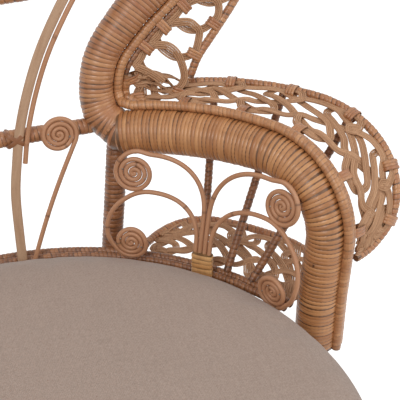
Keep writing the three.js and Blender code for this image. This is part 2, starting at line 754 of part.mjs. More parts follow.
function armRoll(extra) {
  const steps = rollSteps.arm;
  const points = Array.from({ length: steps + 1 }, (_, i) => armCentre(i / steps));
  return sweep(points, (share) => roundSection(armRollRadius(share) + extra, 8), (i) => armFrame(i / steps).out);
}

function armOuterBead() {
  const points = Array.from({ length: beadSteps.arm + 1 }, (_, i) =>
    beadPoint(THREE.MathUtils.lerp(beadCornerShare, 1, i / beadSteps.arm), outerBeadAngle));
  return tube(points, beadRadius);
}

const beadReach = (share) => armRollRadius(share) + beadRadius + fit;
const shelfCrown = (share) => beadReach(share) * Math.sin(outerBeadAngle);
const shelfInner = (share) => beadReach(share) * Math.cos(outerBeadAngle) + beadRadius + reedGap;

// The rim's reach at a share of the shelf's length: narrower at the corner, closing on the front run.
function shelfReach(share) {
  const rear = 1 - shelfRearTaperShare * (1 - share) ** 3;
  return shelfWidth * rear * Math.sqrt(Math.max(1 - share ** 5, 0));
}

const shelfArm = (share) => THREE.MathUtils.lerp(shelfStartShare, shelfEndShare, share);

function shelfRimPoint(share, inwards = 0) {
  const at = shelfArm(share);
  const reach = Math.max(shelfReach(share), 2 * inwards);
  return armPoint(at, shelfInner(at) + rimRadius + reach - inwards, shelfCrown(at));
}

function shelfStrip(share) {
  const part = THREE.MathUtils.lerp(...shelfReedShares, share);
  const at = THREE.MathUtils.lerp(beadCornerShare, shelfEndShare, part);
  const inner = armPoint(at, shelfInner(at) + reedWidth / 2, shelfCrown(at));
  const outer = shelfRimPoint(part, rimRadius + reedGap + reedWidth / 2);
  const { crown } = armFrame((at + shelfArm(part)) / 2);
  return { inner, outer, normal: crown };
}

function armRim(extra) {
  const steps = rollSteps.shelfRim;
  const points = Array.from({ length: steps + 1 }, (_, i) => shelfRimPoint(i / steps));
  return tube(points, rimRadius + extra);
}

// The lower shelf's rim closes on the seat rail at both ends.
function lowerRimPoint(share, inwards = 0) {
  const angle = THREE.MathUtils.lerp(lowerShelfRear, lowerShelfFront, share);
  const closing = Math.max(1 - Math.abs(2 * share - 1) ** 4, 0) ** 0.8;
  const reach = Math.max(lowerShelfWidth * closing, 2 * inwards);
  return polar(railFace + fit + rimRadius + reach - inwards, angle, -lowerShelfDrop);
}

function lowerStrip(share) {
  const part = THREE.MathUtils.lerp(...lowerReedShares, share);
  const angle = THREE.MathUtils.lerp(lowerShelfRear, lowerShelfFront, part);
  return {
    inner: polar(railFace + reedGap + reedWidth / 2, angle, -lowerShelfDrop),
    outer: lowerRimPoint(part, rimRadius + reedGap + reedWidth / 2),
    normal: new THREE.Vector3(0, 0, 1),
  };
}

function lowerRim() {
  const steps = rollSteps.shelfRim;
  const points = Array.from({ length: steps + 1 }, (_, i) => lowerRimPoint(i / steps));
  return tube(points, rimRadius);
}

function rearPost(...tools) {
  const foot = polar(postRadius, postAngle, -postFootDrop);
  return cut(tube([foot, onBack(postHead.x, postHead.up)], postThickness / 2, 8), ...tools);
}

// A strut from the seat rail to the arm's rim, its ends cut to sit on both.
function strut(footAngle, headShare, ...tools) {
  const foot = polar(railOuterRadius, footAngle, -railDrop);
  return cut(tube([foot, shelfRimPoint(headShare)], strutThickness / 2), ...tools);
}

function sidePieces(rollTool) {
  const railTool = seatRail(railOuterRadius, fit);
  const innerRailTool = seatRail(railInnerRadius, fit);
  const rimTool = armRim(fit);
  const pieces = [
    ["rear_post", rearPost(rollTool, lowerRail(fit), armRoll(fit)), finish.darkPeel],
    ["arm_roll", cut(armRoll(0), rollTool), finish.peel],
    ["arm_outer_bead", armOuterBead(), finish.peel],
    ["arm_shelf_rim", armRim(0), finish.darkPeel],
    ["arm_shelf_lattice", loopedReed("arm lattice", shelfStrip, shelfLoops), finish.reed],
    ["lower_shelf_rim", cut(lowerRim(), armRoll(fit)), finish.darkPeel],
    ["lower_shelf_lattice", loopedReed("lower lattice", lowerStrip, shelfLoops), finish.reed],
    ["arm_collar", collar(innerRailTool), finish.collar],
    ["back_splat", cut(flatSplat(), rollTool), finish.splat],
    ["back_slim_cane", cut(slimCane(), rollTool), finish.cane],
    ["back_scroll", backScrollCane(), finish.cane],
  ];
  for (const [name, cane] of Object.entries(fanCanes))
    pieces.push(["arm_scroll_" + name, scrollCane(name, cane), finish.cane]);
  strutFeet.forEach((foot, i) => {
    pieces.push(["arm_strut_" + (i + 1), strut(foot, strutHeadShares[i], railTool, rimTool), finish.darkPeel]);
  });
  return pieces;
}

seat();
base();
const rollTool = backRoll(fit);
back(rollTool);
const pieces = sidePieces(rollTool);
const right = new THREE.Group();
const left = new THREE.Group();
left.scale.x = -1;
chair.add(right, left);
for (const [name, geometry, material] of pieces) {
  add(name + "_right", geometry, material, right);
  add(name + "_left", geometry, material, left);
}

// The box that holds the whole chair is centred on the origin, with the floor at zero.
const box = new THREE.Box3().setFromObject(chair, true);
const placed = new THREE.Group();
chair.position.y = -(box.min.y + box.max.y) / 2;
placed.add(chair);

export default placed;
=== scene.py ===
# %% [markdown]
# # A rattan peacock chair
#
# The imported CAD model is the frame. Every pole, reed, cane and cushion below is built round it in
# the same place, with what the solids leave out: turns of peel, reed in several plies, linen.
# Lengths are in millimetres from the seat's axis, and become metres in the part's frame when a
# piece is made.

import math

import bpy
import numpy as np
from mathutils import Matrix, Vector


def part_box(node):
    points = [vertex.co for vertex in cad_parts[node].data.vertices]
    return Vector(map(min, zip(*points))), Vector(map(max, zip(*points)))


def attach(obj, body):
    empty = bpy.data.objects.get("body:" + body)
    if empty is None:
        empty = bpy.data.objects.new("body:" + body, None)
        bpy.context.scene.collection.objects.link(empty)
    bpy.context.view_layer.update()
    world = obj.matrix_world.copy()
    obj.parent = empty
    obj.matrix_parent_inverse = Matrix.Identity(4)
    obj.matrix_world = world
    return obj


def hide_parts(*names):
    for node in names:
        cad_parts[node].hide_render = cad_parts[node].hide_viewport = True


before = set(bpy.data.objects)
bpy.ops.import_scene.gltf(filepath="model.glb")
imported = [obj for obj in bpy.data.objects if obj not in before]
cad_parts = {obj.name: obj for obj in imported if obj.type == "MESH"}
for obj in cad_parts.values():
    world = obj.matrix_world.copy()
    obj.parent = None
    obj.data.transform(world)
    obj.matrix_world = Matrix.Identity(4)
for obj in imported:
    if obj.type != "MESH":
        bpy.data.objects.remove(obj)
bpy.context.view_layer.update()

TURN = 2 * math.pi
DEGREE = math.pi / 180
SEAT = 455.0
MM = 0.001
low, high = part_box("seat_cushion")
SHIFT = (low.y + high.y) / 2
print("the seat's axis stands at y = %.4f m" % SHIFT)

# %% [markdown]
# ## Node trees that read as sums
#
# Both the finishes and the shapes are node trees. `Graph.node` makes any node: its settings come
# first, then the values or links of its sockets. A `Value` wraps a socket, so that a sum on values
# adds its own Math nodes, and an `Arrow` does the same for vectors with Vector Math. Written this
# way a tree stays as short as its formula.

# %% Graph, Value and Arrow
class Graph:
    def __init__(self, tree):
        self.tree = tree

    def feed(self, socket, value):
        if isinstance(value, Value):
            self.tree.links.new(value.socket, socket)
        elif socket.type == "RGBA":
            socket.default_value = (*value, 1.0)
        else:
            socket.default_value = value

    def nodes(self, kind, settings=None, inputs=None):
        node = self.tree.nodes.new(kind)
        for key, value in (settings or {}).items():
            setattr(node, key, value)
        for key, value in (inputs or {}).items():
            self.feed(node.inputs[key], value)
        return [Value(self, socket) for socket in node.outputs]

    def node(self, kind, settings=None, inputs=None, out=0):
        return self.nodes(kind, settings, inputs)[out]

    def noise(self, x, y=0.0, z=0.0, detail=2.0):
        spot = self.node("ShaderNodeCombineXYZ", None, {0: x, 1: y, 2: z})
        return self.node("ShaderNodeTexNoise", None, {"Vector": spot, "Scale": 1.0, "Detail": detail})


def one_node(operation, turned=False):
    """A method of Value that adds one Math node. Turned swaps the two sides, as 1 - mask needs."""
    def method(self, *others):
        sides = (*others, self) if turned else (self, *others)
        return self.math(operation, *sides)
    return method


class Value:
    def __init__(self, graph, socket):
        self.graph, self.socket = graph, socket

    def math(self, operation, *inputs, clamp=False):
        settings = {"operation": operation, "use_clamp": clamp}
        return self.graph.node("ShaderNodeMath", settings, dict(enumerate(inputs)))

    __add__, __radd__ = one_node("ADD"), one_node("ADD", True)
    __sub__, __rsub__ = one_node("SUBTRACT"), one_node("SUBTRACT", True)
    __mul__, __rmul__ = one_node("MULTIPLY"), one_node("MULTIPLY", True)
    __truediv__, __rtruediv__ = one_node("DIVIDE"), one_node("DIVIDE", True)
    __pow__ = one_node("POWER")
    round, floor, fract = one_node("ROUND"), one_node("FLOOR"), one_node("FRACT")
    abs, sign, sin, cos = one_node("ABSOLUTE"), one_node("SIGN"), one_node("SINE"), one_node("COSINE")
    at_least, at_most = one_node("MAXIMUM"), one_node("MINIMUM")

    def clip(self):
        """Held between 0 and 1."""
        return self.math("ADD", self, 0.0, clamp=True)

    def ramp(self, start, end):
        """From 0 at the start to 1 at the end, and held there."""
        return self.math("MULTIPLY", self - start, 1.0 / (end - start), clamp=True)

    def arrow(self):
        return Arrow(self.graph, self.socket)


class Arrow(Value):
    def vector(self, operation, inputs):
        return self.graph.node("ShaderNodeVectorMath", {"operation": operation}, inputs).arrow()

    def __add__(self, other):
        return self.vector("ADD", {0: self, 1: other})

    def __mul__(self, other):
        return self.vector("SCALE", {0: self, "Scale": other})

    def cross(self, other):
        return self.vector("CROSS_PRODUCT", {0: self, 1: other})

    def unit(self):
        return self.vector("NORMALIZE", {0: self})

    def split(self):
        return self.graph.nodes("ShaderNodeSeparateXYZ", None, {0: self})


# %% [markdown]
# ## A tree that grows a piece
#
# A Geometry Nodes tree takes a few lines in space and grows the piece on them, as a weaver does.
# `Growth` opens such a tree with named sizes and closes it with Realize Instances and Set Material,
# because the export drops instances. The source is a mesh of loose edges: each point carries its
# thickness, the direction that counts as up there, and the numbers that the finish reads.

# %% A growing tree
class Growth(Graph):
    joined = True

    def __init__(self, name, **sizes):
        super().__init__(bpy.data.node_groups.new(name, "GeometryNodeTree"))
        face = self.tree.interface
        face.new_socket("Geometry", in_out="INPUT", socket_type="NodeSocketGeometry")
        for key, value in sizes.items():
            kind = "NodeSocketInt" if isinstance(value, int) else "NodeSocketFloat"
            face.new_socket(key, in_out="INPUT", socket_type=kind).default_value = value
        face.new_socket("Material", in_out="INPUT", socket_type="NodeSocketMaterial")
        face.new_socket("Geometry", in_out="OUTPUT", socket_type="NodeSocketGeometry")
        start = self.tree.nodes.new("NodeGroupInput")
        self.given = {socket.name: Value(self, socket) for socket in start.outputs if socket.name}

    def read(self, name, kind="FLOAT"):
        return self.node("GeometryNodeInputNamedAttribute", {"data_type": kind}, {"Name": name})

    def store(self, geometry, **numbers):
        for name, value in numbers.items():
            kind = {"data_type": "FLOAT", "domain": "POINT"}
            parts = {"Geometry": geometry, "Name": name, "Value": value}
            geometry = self.node("GeometryNodeStoreNamedAttribute", kind, parts)
        return geometry

    def lines(self, up):
        """The source's edges as curves, with their own up direction."""
        curve = self.node("GeometryNodeMeshToCurve", None, {0: self.given["Geometry"]})
        return self.node("GeometryNodeSetCurveNormal", {"mode": "FREE"}, {0: curve, 2: up})

    def section(self, columns, width, depth, power):
        """A closed outline, from round, with a power of 2, to a box with soft corners."""
        circle = self.node("GeometryNodeCurvePrimitiveCircle", None, {"Resolution": columns, "Radius": 1.0})
        x, y, _ = self.node("GeometryNodeInputPosition").arrow().split()
        out = (x.abs() ** power + y.abs() ** power) ** (-1.0 / power)
        place = self.node("ShaderNodeCombineXYZ", None, {0: x * out * depth, 1: y * out * width})
        outline_ = self.node("GeometryNodeSetPosition", None, {0: circle, "Position": place})
        return self.store(outline_, round=self.node("GeometryNodeInputIndex") / columns)

    def swept(self, curve, section, thick):
        parts = {0: curve, 1: section, "Scale": thick, "Fill Caps": True}
        solid = self.node("GeometryNodeCurveToMesh", None, parts)
        return self.node("GeometryNodeSetShadeSmooth", None, {0: solid})

    def close(self, geometry):
        whole = self.node("GeometryNodeRealizeInstances", None, {0: geometry})
        whole = self.node("GeometryNodeSetMaterial", None, {0: whole, "Material": self.given["Material"]})
        self.feed(self.tree.nodes.new("NodeGroupOutput").inputs[0], whole)
        return self


# %% [markdown]
# ## Lines in space
#
# A `Line` is a dense run of points with a length, and with a direction, a side and an up at each
# place. Curves go through the same control points as the CAD's, on the same centripetal spline,
# which doesn't overshoot where the points lie unevenly.

# %% Lines
def unit(v):
    return v / np.maximum(np.linalg.norm(v, axis=-1, keepdims=True), 1e-9)


def spline(points, steps=40):
    """A centripetal Catmull-Rom curve through the points."""
    p = np.asarray(points, float)
    p = np.vstack([2 * p[0] - p[1], p, 2 * p[-1] - p[-2]])
    out = []
    for i in range(1, len(p) - 2):
        a, b, c, d = p[i - 1:i + 3]
        ta, tb, tc = [max(np.linalg.norm(y - x), 1e-6) ** 0.5 for x, y in ((a, b), (b, c), (c, d))]
        m1 = ((b - a) / ta - (c - a) / (ta + tb) + (c - b) / tb) * tb
        m2 = ((c - b) / tb - (d - b) / (tb + tc) + (d - c) / tc) * tb
        t = np.linspace(0, 1, steps, endpoint=False)[:, None]
        square, cube = -3 * b + 3 * c - 2 * m1 - m2, 2 * b - 2 * c + m1 + m2
        out.append(b + m1 * t + square * t ** 2 + cube * t ** 3)
    return np.vstack(out + [p[-2:-1]])


class Line:
    """Points with an up direction: given, or carried along without a twist."""

    def __init__(self, points, up=None):
        points = np.asarray(points, float)
        self.s = np.concatenate([[0], np.cumsum(np.linalg.norm(np.diff(points, axis=0), axis=1))])
        self.p = points
        self.length = self.s[-1]
        self.along = unit(np.gradient(points, self.s, axis=0))
        self.up = self._carried() if up is None else np.broadcast_to(np.asarray(up, float), points.shape)
        self.up = unit(self.up - (self.up * self.along).sum(1)[:, None] * self.along)
        self.side = np.cross(self.along, self.up)

    def _carried(self):
        up = np.zeros_like(self.p)
        now = np.array([0, 0, 1.0]) if abs(self.along[0][2]) < 0.9 else np.array([0, 1.0, 0])
        for i, t in enumerate(self.along):
            now = now - now.dot(t) * t
            now = now / np.linalg.norm(now)
            up[i] = now
        return up

    def _read(self, values, s):
        s = np.clip(s, 0, self.length)
        return np.stack([np.interp(s, self.s, values[:, k]) for k in range(3)], -1)

    def at(self, s):
        return self._read(self.p, s)

    def frame(self, s):
        return self._read(self.p, s), self._read(self.side, s), self._read(self.up, s)


def polar(radius, angle, height):
    radius, angle, height = np.broadcast_arrays(np.asarray(radius, float), angle, height)
    return np.stack([radius * np.cos(angle), radius * np.sin(angle), SEAT + height], -1)


# %% [markdown]
# ## From a line to a piece
#
# `path` samples a line for a tree to read.

# %% Paths and finished pieces
pieces_made = []


def path(line, thick, spacing=2.0, **numbers):
    """Points along a line, with a thickness that may be a function of the share along it."""
    s = np.linspace(0, line.length, max(int(line.length / spacing), 3) + 1)
    centre, _, up = line.frame(s)
    thick = (thick(s / line.length) if callable(thick) else thick) + 0 * s
    return {"p": centre, "up": up, "thick": thick, "along": s,
            **{key: value + 0 * s for key, value in numbers.items()}}


def finished(obj, nodes, body):
    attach(obj, body)
    if nodes:
        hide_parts(*nodes)
    pieces_made.append(obj)
    print("%s: %d faces" % (obj.name, len(obj.data.polygons)))
    return obj


# %% From lines to a piece
def source_mesh(name, paths, joined, mirror):
    """The paths as one mesh of loose edges, or of points alone, with their numbers as attributes."""
    across = [-1, 1, 1] if mirror else 1
    points = np.vstack([one["p"] for one in paths]) * across
    edges, start = [], 0
    for one in paths:
        count = len(one["p"])
        edges += [(start + i, start + i + 1) for i in range(count - 1)]
        start += count
    mesh = bpy.data.meshes.new(name)
    mesh.from_pydata((points * MM + [0, SHIFT, 0]).tolist(), edges if joined else [], [])
    for key in sorted(set(paths[0]) - {"p"}):
        values = np.concatenate([one[key] for one in paths])
        if values.ndim == 2:
            kind, field, values = "FLOAT_VECTOR", "vector", values * across
        else:
            kind, field, values = "FLOAT", "value", values * (MM if key == "thick" else 1)
        attribute = mesh.attributes.new(key, kind, "POINT")
        attribute.data.foreach_set(field, values.astype(np.float32).ravel())
    return mesh


def grow(name, paths, growth, material, slot, nodes=(), body="chair", mirror=False, **sizes):
    """Runs a tree once on its paths and keeps the result as a plain mesh."""
    if mirror and "Start" in sizes:
        sizes["Start"] *= -1
    mesh = source_mesh(name, paths, growth.joined, mirror)
    source = bpy.data.objects.new(name, mesh)
    bpy.context.scene.collection.objects.link(source)
    modifier = source.modifiers.new("growth", "NODES")
    modifier.node_group = growth.tree
    for item in growth.tree.interface.items_tree:
        if item.in_out == "INPUT" and item.name in sizes:
            modifier[item.identifier] = sizes[item.name]
        elif item.in_out == "INPUT" and item.name == "Material":
            modifier[item.identifier] = material
    grown = bpy.data.meshes.new_from_object(source.evaluated_get(bpy.context.evaluated_depsgraph_get()))
    bpy.data.objects.remove(source)
    bpy.data.meshes.remove(mesh)
    for key in ("up", "thick", "way", "tie"):
        if key in grown.attributes:
            grown.attributes.remove(grown.attributes[key])
    grown.name = name
    obj = bpy.data.objects.new(name, grown)
    bpy.context.scene.collection.objects.link(obj)
    return finished(obj, nodes, body)


# %% [markdown]
# ## Canes and plies
#
# A cane is a section swept along its line. The looped strands are four reeds that lie side by side,
# so the same tree first makes Count copies of each line, a Spacing apart, and lets each wander a
# little, as no two reeds lie alike.

# %% The cane tree
NEXT_STRAND = 7.31


def cane_growth():
    g = Growth("cane", Columns=12, Width=1.0, Depth=1.0, Power=2.0, Count=1, Spacing=0.0, Wander=0.0)
    given = g.given
    up = g.read("up", "FLOAT_VECTOR").arrow()
    copies, copy = g.nodes("GeometryNodeDuplicateElements", {"domain": "SPLINE"},
                           {0: g.lines(up), "Amount": given["Count"]})
    strand = g.read("strand") + copy * NEXT_STRAND
    along = g.read("along")
    side = g.node("GeometryNodeInputTangent").arrow().cross(up)
    beside = (copy - (given["Count"] - 1.0) * 0.5) * given["Spacing"]
    beside = beside + (g.noise(along * 0.045, strand) - 0.5) * given["Wander"]
    above = (g.noise(along * 0.05, strand, 5.0) - 0.5) * given["Wander"]
    moved = g.node("GeometryNodeSetPosition", None, {0: copies, "Offset": side * beside + up * above})
    moved = g.store(moved, strand=strand)
    outline_ = g.section(given["Columns"], given["Width"], given["Depth"], given["Power"])
    return g.close(g.swept(moved, outline_, g.read("thick")))


CANE_GROWTH = cane_growth()
print("cane tree:", len(CANE_GROWTH.tree.nodes), "nodes")

# %% The points of a cane
FIRST_JOINT, NEXT_JOINT = (20, 120), (110, 190)
SWELL, SWELL_LONG, MARK_LONG = 0.05, 3.0, 1.1


def cane_path(line, radius, spacing=1.6, seed=0, knots=True, taper=0.0):
    """A cane has a slightly swollen joint every 110 to 190 mm, and may taper to its two ends."""
    random = np.random.default_rng(seed)
    s = np.linspace(0, line.length, max(int(line.length / spacing), 3) + 1)
    swell, mark = 0 * s, 0 * s
    if knots:
        at = random.uniform(*FIRST_JOINT)
        while at < line.length:
            swell = swell + SWELL * np.exp(-((s - at) / SWELL_LONG) ** 2)
            mark = mark + np.exp(-((s - at) / MARK_LONG) ** 2)
            at += random.uniform(*NEXT_JOINT)
    thick = radius * (1 + swell)
    if taper:
        thick = thick * np.clip((np.minimum(s, line.length - s) + 0.5) / taper, 0.15, 1) ** 0.5
    one = path(line, 1.0, spacing, strand=random.uniform(0, 100))
    return {**one, "thick": thick, "mark": mark}


# %% [markdown]
# ## A pole wound with peel
#
# Peel is the shiny skin of the rattan, cut in a long strip and wound tightly round a pole. It could
# be a bump on a smooth tube, but the ripple shows along every edge of this chair, so the strip is
# really wound: a line of points turns round the pole on a screw, sways a little, and a thin crowned
# profile is swept along it. A core closes the grooves between the turns, painted dark as their shade.

# %% Where the strip runs
def wound(g, pole, strip, columns):
    """The strip's own line, its turn and angle, and how far along the pole each point lies."""
    seed = g.given["Seed"]
    length = g.node("GeometryNodeCurveLength", None, {0: pole})
    points = (length / strip).floor() * columns + 1.0
    line = g.node("GeometryNodeCurvePrimitiveLine", None, {"End": (0, 0, 1)})
    line = g.node("GeometryNodeResampleCurve", {"mode": "COUNT"}, {0: line, "Count": points})
    index = g.node("GeometryNodeInputIndex")
    turn = index / columns
    angle = turn * TURN + g.given["Start"]
    sway = (g.noise(turn * 0.93 + seed * 13.1, detail=0.0) - 0.5) * 0.55
    lean = (g.noise(turn * 0.37 + seed * 7.7, 3.0, detail=0.0) - 0.5) * 0.7 * angle.sin()
    s = (index / (points - 1.0)) * (length - strip) + strip * (sway + lean + 0.5)
    return line, turn, angle, s.at_least(strip * 0.45).at_most(length - strip * 0.45)


def on_pole(g, pole, s):
    """The pole's thickness, middle, up and side at a length along it."""
    along, thickness = {"mode": "LENGTH", "data_type": "FLOAT"}, {0: pole, 1: g.read("thick"), "Length": s}
    thick, centre, tangent, _ = g.nodes("GeometryNodeSampleCurve", along, thickness)
    up = g.node("GeometryNodeSampleCurve", {"mode": "LENGTH", "data_type": "FLOAT_VECTOR"},
                {0: pole, 1: g.read("up", "FLOAT_VECTOR"), "Length": s}).arrow().unit()
    return thick, centre.arrow(), up, tangent.arrow().cross(up).unit()


# %% The strip's profile
PROFILE_POINTS = 5


def strip_profile(g, strip, overlap, lift, foot):
    """A short crowned line across the strip. Lift is the crown's height, and foot that of its edges."""
    profile = g.node("GeometryNodeCurvePrimitiveLine", None, {"End": (0, 1, 0)})
    profile = g.node("GeometryNodeResampleCurve", {"mode": "COUNT"}, {0: profile, "Count": PROFILE_POINTS})
    share = g.node("GeometryNodeInputIndex") / (PROFILE_POINTS - 1.0)
    crown = 1.0 - (share * 2.0 - 1.0).abs() ** 3.0
    high, wide = (crown - foot) * lift, (share - 0.5) * strip * overlap
    lies = g.node("ShaderNodeCombineXYZ", None, {0: high, 1: wide})
    return g.store(g.node("GeometryNodeSetPosition", None, {0: profile, "Position": lies}), crown=crown)


# %% The peel tree
CORE_TURN = -9.0


def peel_growth():
    g = Growth("wound peel", Strip=0.0045, Lift=0.0006, Columns=28, Start=0.0,
               Width=1.0, Depth=1.0, Power=2.0, Seed=1.0)
    strip, lift, columns, power = (g.given[key] for key in ("Strip", "Lift", "Columns", "Power"))
    width, depth, seed = g.given["Width"], g.given["Depth"], g.given["Seed"]
    pole = g.lines(g.read("up", "FLOAT_VECTOR"))
    line, turn, angle, s = wound(g, pole, strip, columns)
    thick, centre, up, side = on_pole(g, pole, s)
    x, y = angle.cos(), angle.sin()
    out = (x.abs() ** power + y.abs() ** power) ** (-1.0 / power) * thick
    facing = up * (x.sign() * x.abs() ** (power - 1.0) / depth)
    facing = (facing + side * (y.sign() * y.abs() ** (power - 1.0) / width)).unit()
    bump = (g.noise(turn * 1.3 + seed * 3.3, 9.0, detail=0.0) - 0.5) * lift * 1.4
    place = centre + up * (x * out * depth) + side * (y * out * width) + facing * bump
    line = g.node("GeometryNodeSetPosition", None, {0: line, "Position": place})
    line = g.node("GeometryNodeSetCurveNormal", {"mode": "FREE"}, {0: line, 2: facing})
    line = g.store(line, turn=turn.floor(), round=turn.fract(), along=s * 1000.0)
    turns = g.node("GeometryNodeCurveToMesh", None, {0: line, 1: strip_profile(g, strip, 1.04, lift, 1.0)})
    turns = g.node("GeometryNodeSetShadeSmooth", None, {0: turns})
    core = g.swept(pole, g.section(columns, width, depth, power), g.read("thick") - lift * 0.75 / depth)
    # The core's low crown gives it the painted shade of the grooves in the peel finish.
    core = g.store(core, turn=CORE_TURN, crown=0.1)
    join = g.tree.nodes.new("GeometryNodeJoinGeometry")
    g.feed(join.inputs[0], turns)
    g.feed(join.inputs[0], core)
    return g.close(Value(g, join.outputs[0]))


PEEL_GROWTH = peel_growth()
print("peel tree:", len(PEEL_GROWTH.tree.nodes), "nodes")

# %% [markdown]
# ## Finishes
#
# Each finish is one Principled surface. A colour is given as it is seen on a screen. `Finish` adds
# what these finishes share: a number read off the mesh, a random number for a turn or a strand, a mix
# of two colours, and a closing step that sets colour, roughness and a bump.

# %% The finish class
class Finish(Graph):
    def __init__(self, name, roughness=0.5, coat=0.0, sheen=0.0, specular=0.5):
        self.material = bpy.data.materials.new(name)
        self.material.use_nodes = True
        super().__init__(self.material.node_tree)
        self.surface = self.tree.nodes["Principled BSDF"]
        plain = {"Roughness": roughness, "Coat Weight": coat, "Coat Roughness": 0.25,
                 "Sheen Weight": sheen, "Specular IOR Level": specular}
        for key, value in plain.items():
            self.surface.inputs[key].default_value = value

    def number(self, name):
        return self.node("ShaderNodeAttribute", {"attribute_name": name}, out=2)

    def place(self):
        return self.node("ShaderNodeTexCoord", out=3).arrow().split()

    def random(self, value):
        return self.node("ShaderNodeTexWhiteNoise", {"noise_dimensions": "1D"}, {"W": value})

    def mix(self, share, one, two):
        return self.node("ShaderNodeMix", {"data_type": "RGBA"}, {0: share, 6: one, 7: two}, out=2)

    def done(self, colour, roughness=None, height=None, strength=0.4, distance=0.0005):
        self.feed(self.surface.inputs["Base Color"], colour)
        if roughness is not None:
            self.feed(self.surface.inputs["Roughness"], roughness)
        if height is not None:
            relief = {"Strength": strength, "Distance": distance, "Height": height}
            bump = self.node("ShaderNodeBump", None, relief)
            self.feed(self.surface.inputs["Normal"], bump)
        return self.material


def seen(r, g, b):
    """A colour as a screen shows it, made linear."""
    return tuple(((c / 255 + 0.055) / 1.055) ** 2.4 for c in (r, g, b))


# %% [markdown]
# ## Peel
#
# Peel keeps its skin, so it is glossy. Each turn has its own tone, with long streaks, painted shade
# that darkens its edges in the grooves, and now and then the small scar of a leaf joint.

# %% The peel finish
# The second colour is the painted shade of the grooves between the turns.
SCAR, SHADE_IN_GROOVES = seen(78, 44, 24), seen(48, 26, 14)


def peel(name, pale, deep, dark, roughness=0.38, knots=0.2, gaps=1.0):
    """Knots is the share of turns with a scar, and gaps is how dark the painted shade in the grooves is."""
    s = Finish(name, roughness, coat=0.2)
    turn = s.number("turn").round()
    crown, around, along = s.number("crown"), s.number("round"), s.number("along")
    tone, tone_too = s.random(turn * 1.37 + 0.5), s.random(turn * 2.91 + 7.1)
    spot = s.random(turn * 3.7 + 3.3)
    streaks = s.noise(around * 9.0, turn * 5.3, along * 1.4, detail=3.0)
    cloud = s.noise(along * 0.02, around * 1.5, turn * 0.02)
    base = s.mix((tone * 0.95 + cloud * 0.8 - 0.42).clip(), pale, deep)
    base = s.mix((streaks.ramp(0.45, 0.8) * (tone_too * 0.6 + 0.1)).clip(), base, dark)
    has_joint = s.random(turn * 1.9 + 1.1).ramp(1.0 - knots, 1.0 - knots + 0.02)
    joint = (around - spot).abs().ramp(0.013, 0.004) * crown.ramp(0.3, 0.95) * has_joint
    halo = (around - spot).abs().ramp(0.06, 0.01) * has_joint
    base = s.mix((joint * 0.8 + halo * 0.22).clip(), base, SCAR)
    # Painted shade: the low edges of the turns, in the grooves, darken towards a deep brown, more on some
    # turns than on others.
    groove_shade = s.noise(around * 6.0, turn * 3.1, 4.0).ramp(0.35, 0.6) * 0.35
    groove_shade = groove_shade + s.random(turn * 4.3 + 2.0).ramp(0.7, 0.9) * 0.5 + 0.15
    base = s.mix((crown.ramp(0.55, 0.05) * groove_shade * gaps).clip(), base, SHADE_IN_GROOVES)
    fibre = s.noise(around * 14.0, along * 6.0, turn * 2.0)
    return s.done(base, (fibre * 0.22 + roughness - 0.1).clip(), fibre, strength=0.25, distance=0.0003)


# %% The kinds of peel
PEEL = peel("peel", seen(200, 144, 94), seen(168, 111, 66), seen(122, 74, 40))
PEEL_BEAD = peel("peel of the beads", seen(200, 146, 100), seen(172, 116, 74), seen(126, 78, 46),
                 knots=0.1, gaps=0.6)
PEEL_RED = peel("peel of the back", seen(196, 142, 98), seen(166, 108, 70), seen(116, 70, 42), knots=0.12)
# A darker copy of peel for the rails, posts, struts, edging and floor ring: its darkness paints the shade
# these parts lie in.
PEEL_SHADED = peel("dark peel", seen(166, 112, 72), seen(122, 76, 46), seen(80, 46, 28), roughness=0.42)
PEEL_PALE = peel("collar peel", seen(226, 178, 120), seen(206, 152, 94), seen(164, 110, 66),
                 roughness=0.32, knots=0.08)
print("kinds of peel:", [kind.name for kind in (PEEL, PEEL_BEAD, PEEL_RED, PEEL_SHADED, PEEL_PALE)])

# %% [markdown]
# ## Cane and reed
#
# Cane without its skin is smooth and a little pink, with long grain and a brown line at each joint.
# Reed is the split core: matt, fibrous, and each ply of a strand has its own tone.

# %% The cane and reed finishes
def cane(name, pale, deep, roughness=0.5):
    s = Finish(name, roughness, coat=0.05)
    along, around, mark, strand = s.number("along"), s.number("round"), s.number("mark"), s.number("strand")
    grain = s.noise(along * 0.03, (around * TURN).sin() * 1.6 + strand, strand * 3.0, detail=4.0)
    fleck = s.noise(along * 0.25, (around * TURN).sin() * 5.0, strand * 2.0 + 5.0)
    base = s.mix((grain * 1.3 - 0.2).clip(), pale, deep)
    base = s.mix((fleck.ramp(0.6, 0.8) * 0.35).clip(), base, seen(120, 78, 50))
    base = s.mix((mark * 0.75).clip(), base, seen(84, 50, 30))
    return s.done(base, (grain * 0.25 + roughness - 0.12).clip(), fleck, strength=0.2, distance=0.0003)


def reed(name, pale, deep):
    s = Finish(name, 0.6)
    along, around, strand = s.number("along"), s.number("round"), s.number("strand")
    grain = s.noise(along * 0.05, (around * TURN).sin() * 3.0 + strand, strand * 4.0, detail=4.0)
    base = s.mix((grain * 1.1 - 0.25 + s.random(strand.round()) * 0.5).clip(), pale, deep)
    return s.done(base, (grain * 0.2 + 0.5).clip(), grain, strength=0.3, distance=0.0004)


# %% The kinds of cane and reed
CANE = cane("cane", seen(198, 148, 112), seen(168, 116, 82))
SPLAT = cane("flat cane", seen(198, 164, 134), seen(168, 130, 100), roughness=0.6)
CANE_DARK = cane("lashing peel", seen(160, 106, 68), seen(120, 74, 46), roughness=0.42)
REED = reed("reed", seen(210, 166, 128), seen(160, 116, 82))
print("cane and reed:", [kind.name for kind in (CANE, CANE_DARK, SPLAT, REED)])

# %% [markdown]
# ## Linen and the deck's weave
#
# Both follow Object coordinates, because neither piece has a map of its own. The cover is a fine
# herringbone with slubs, as tone and as bump. The deck is flat reed, two over and two under.

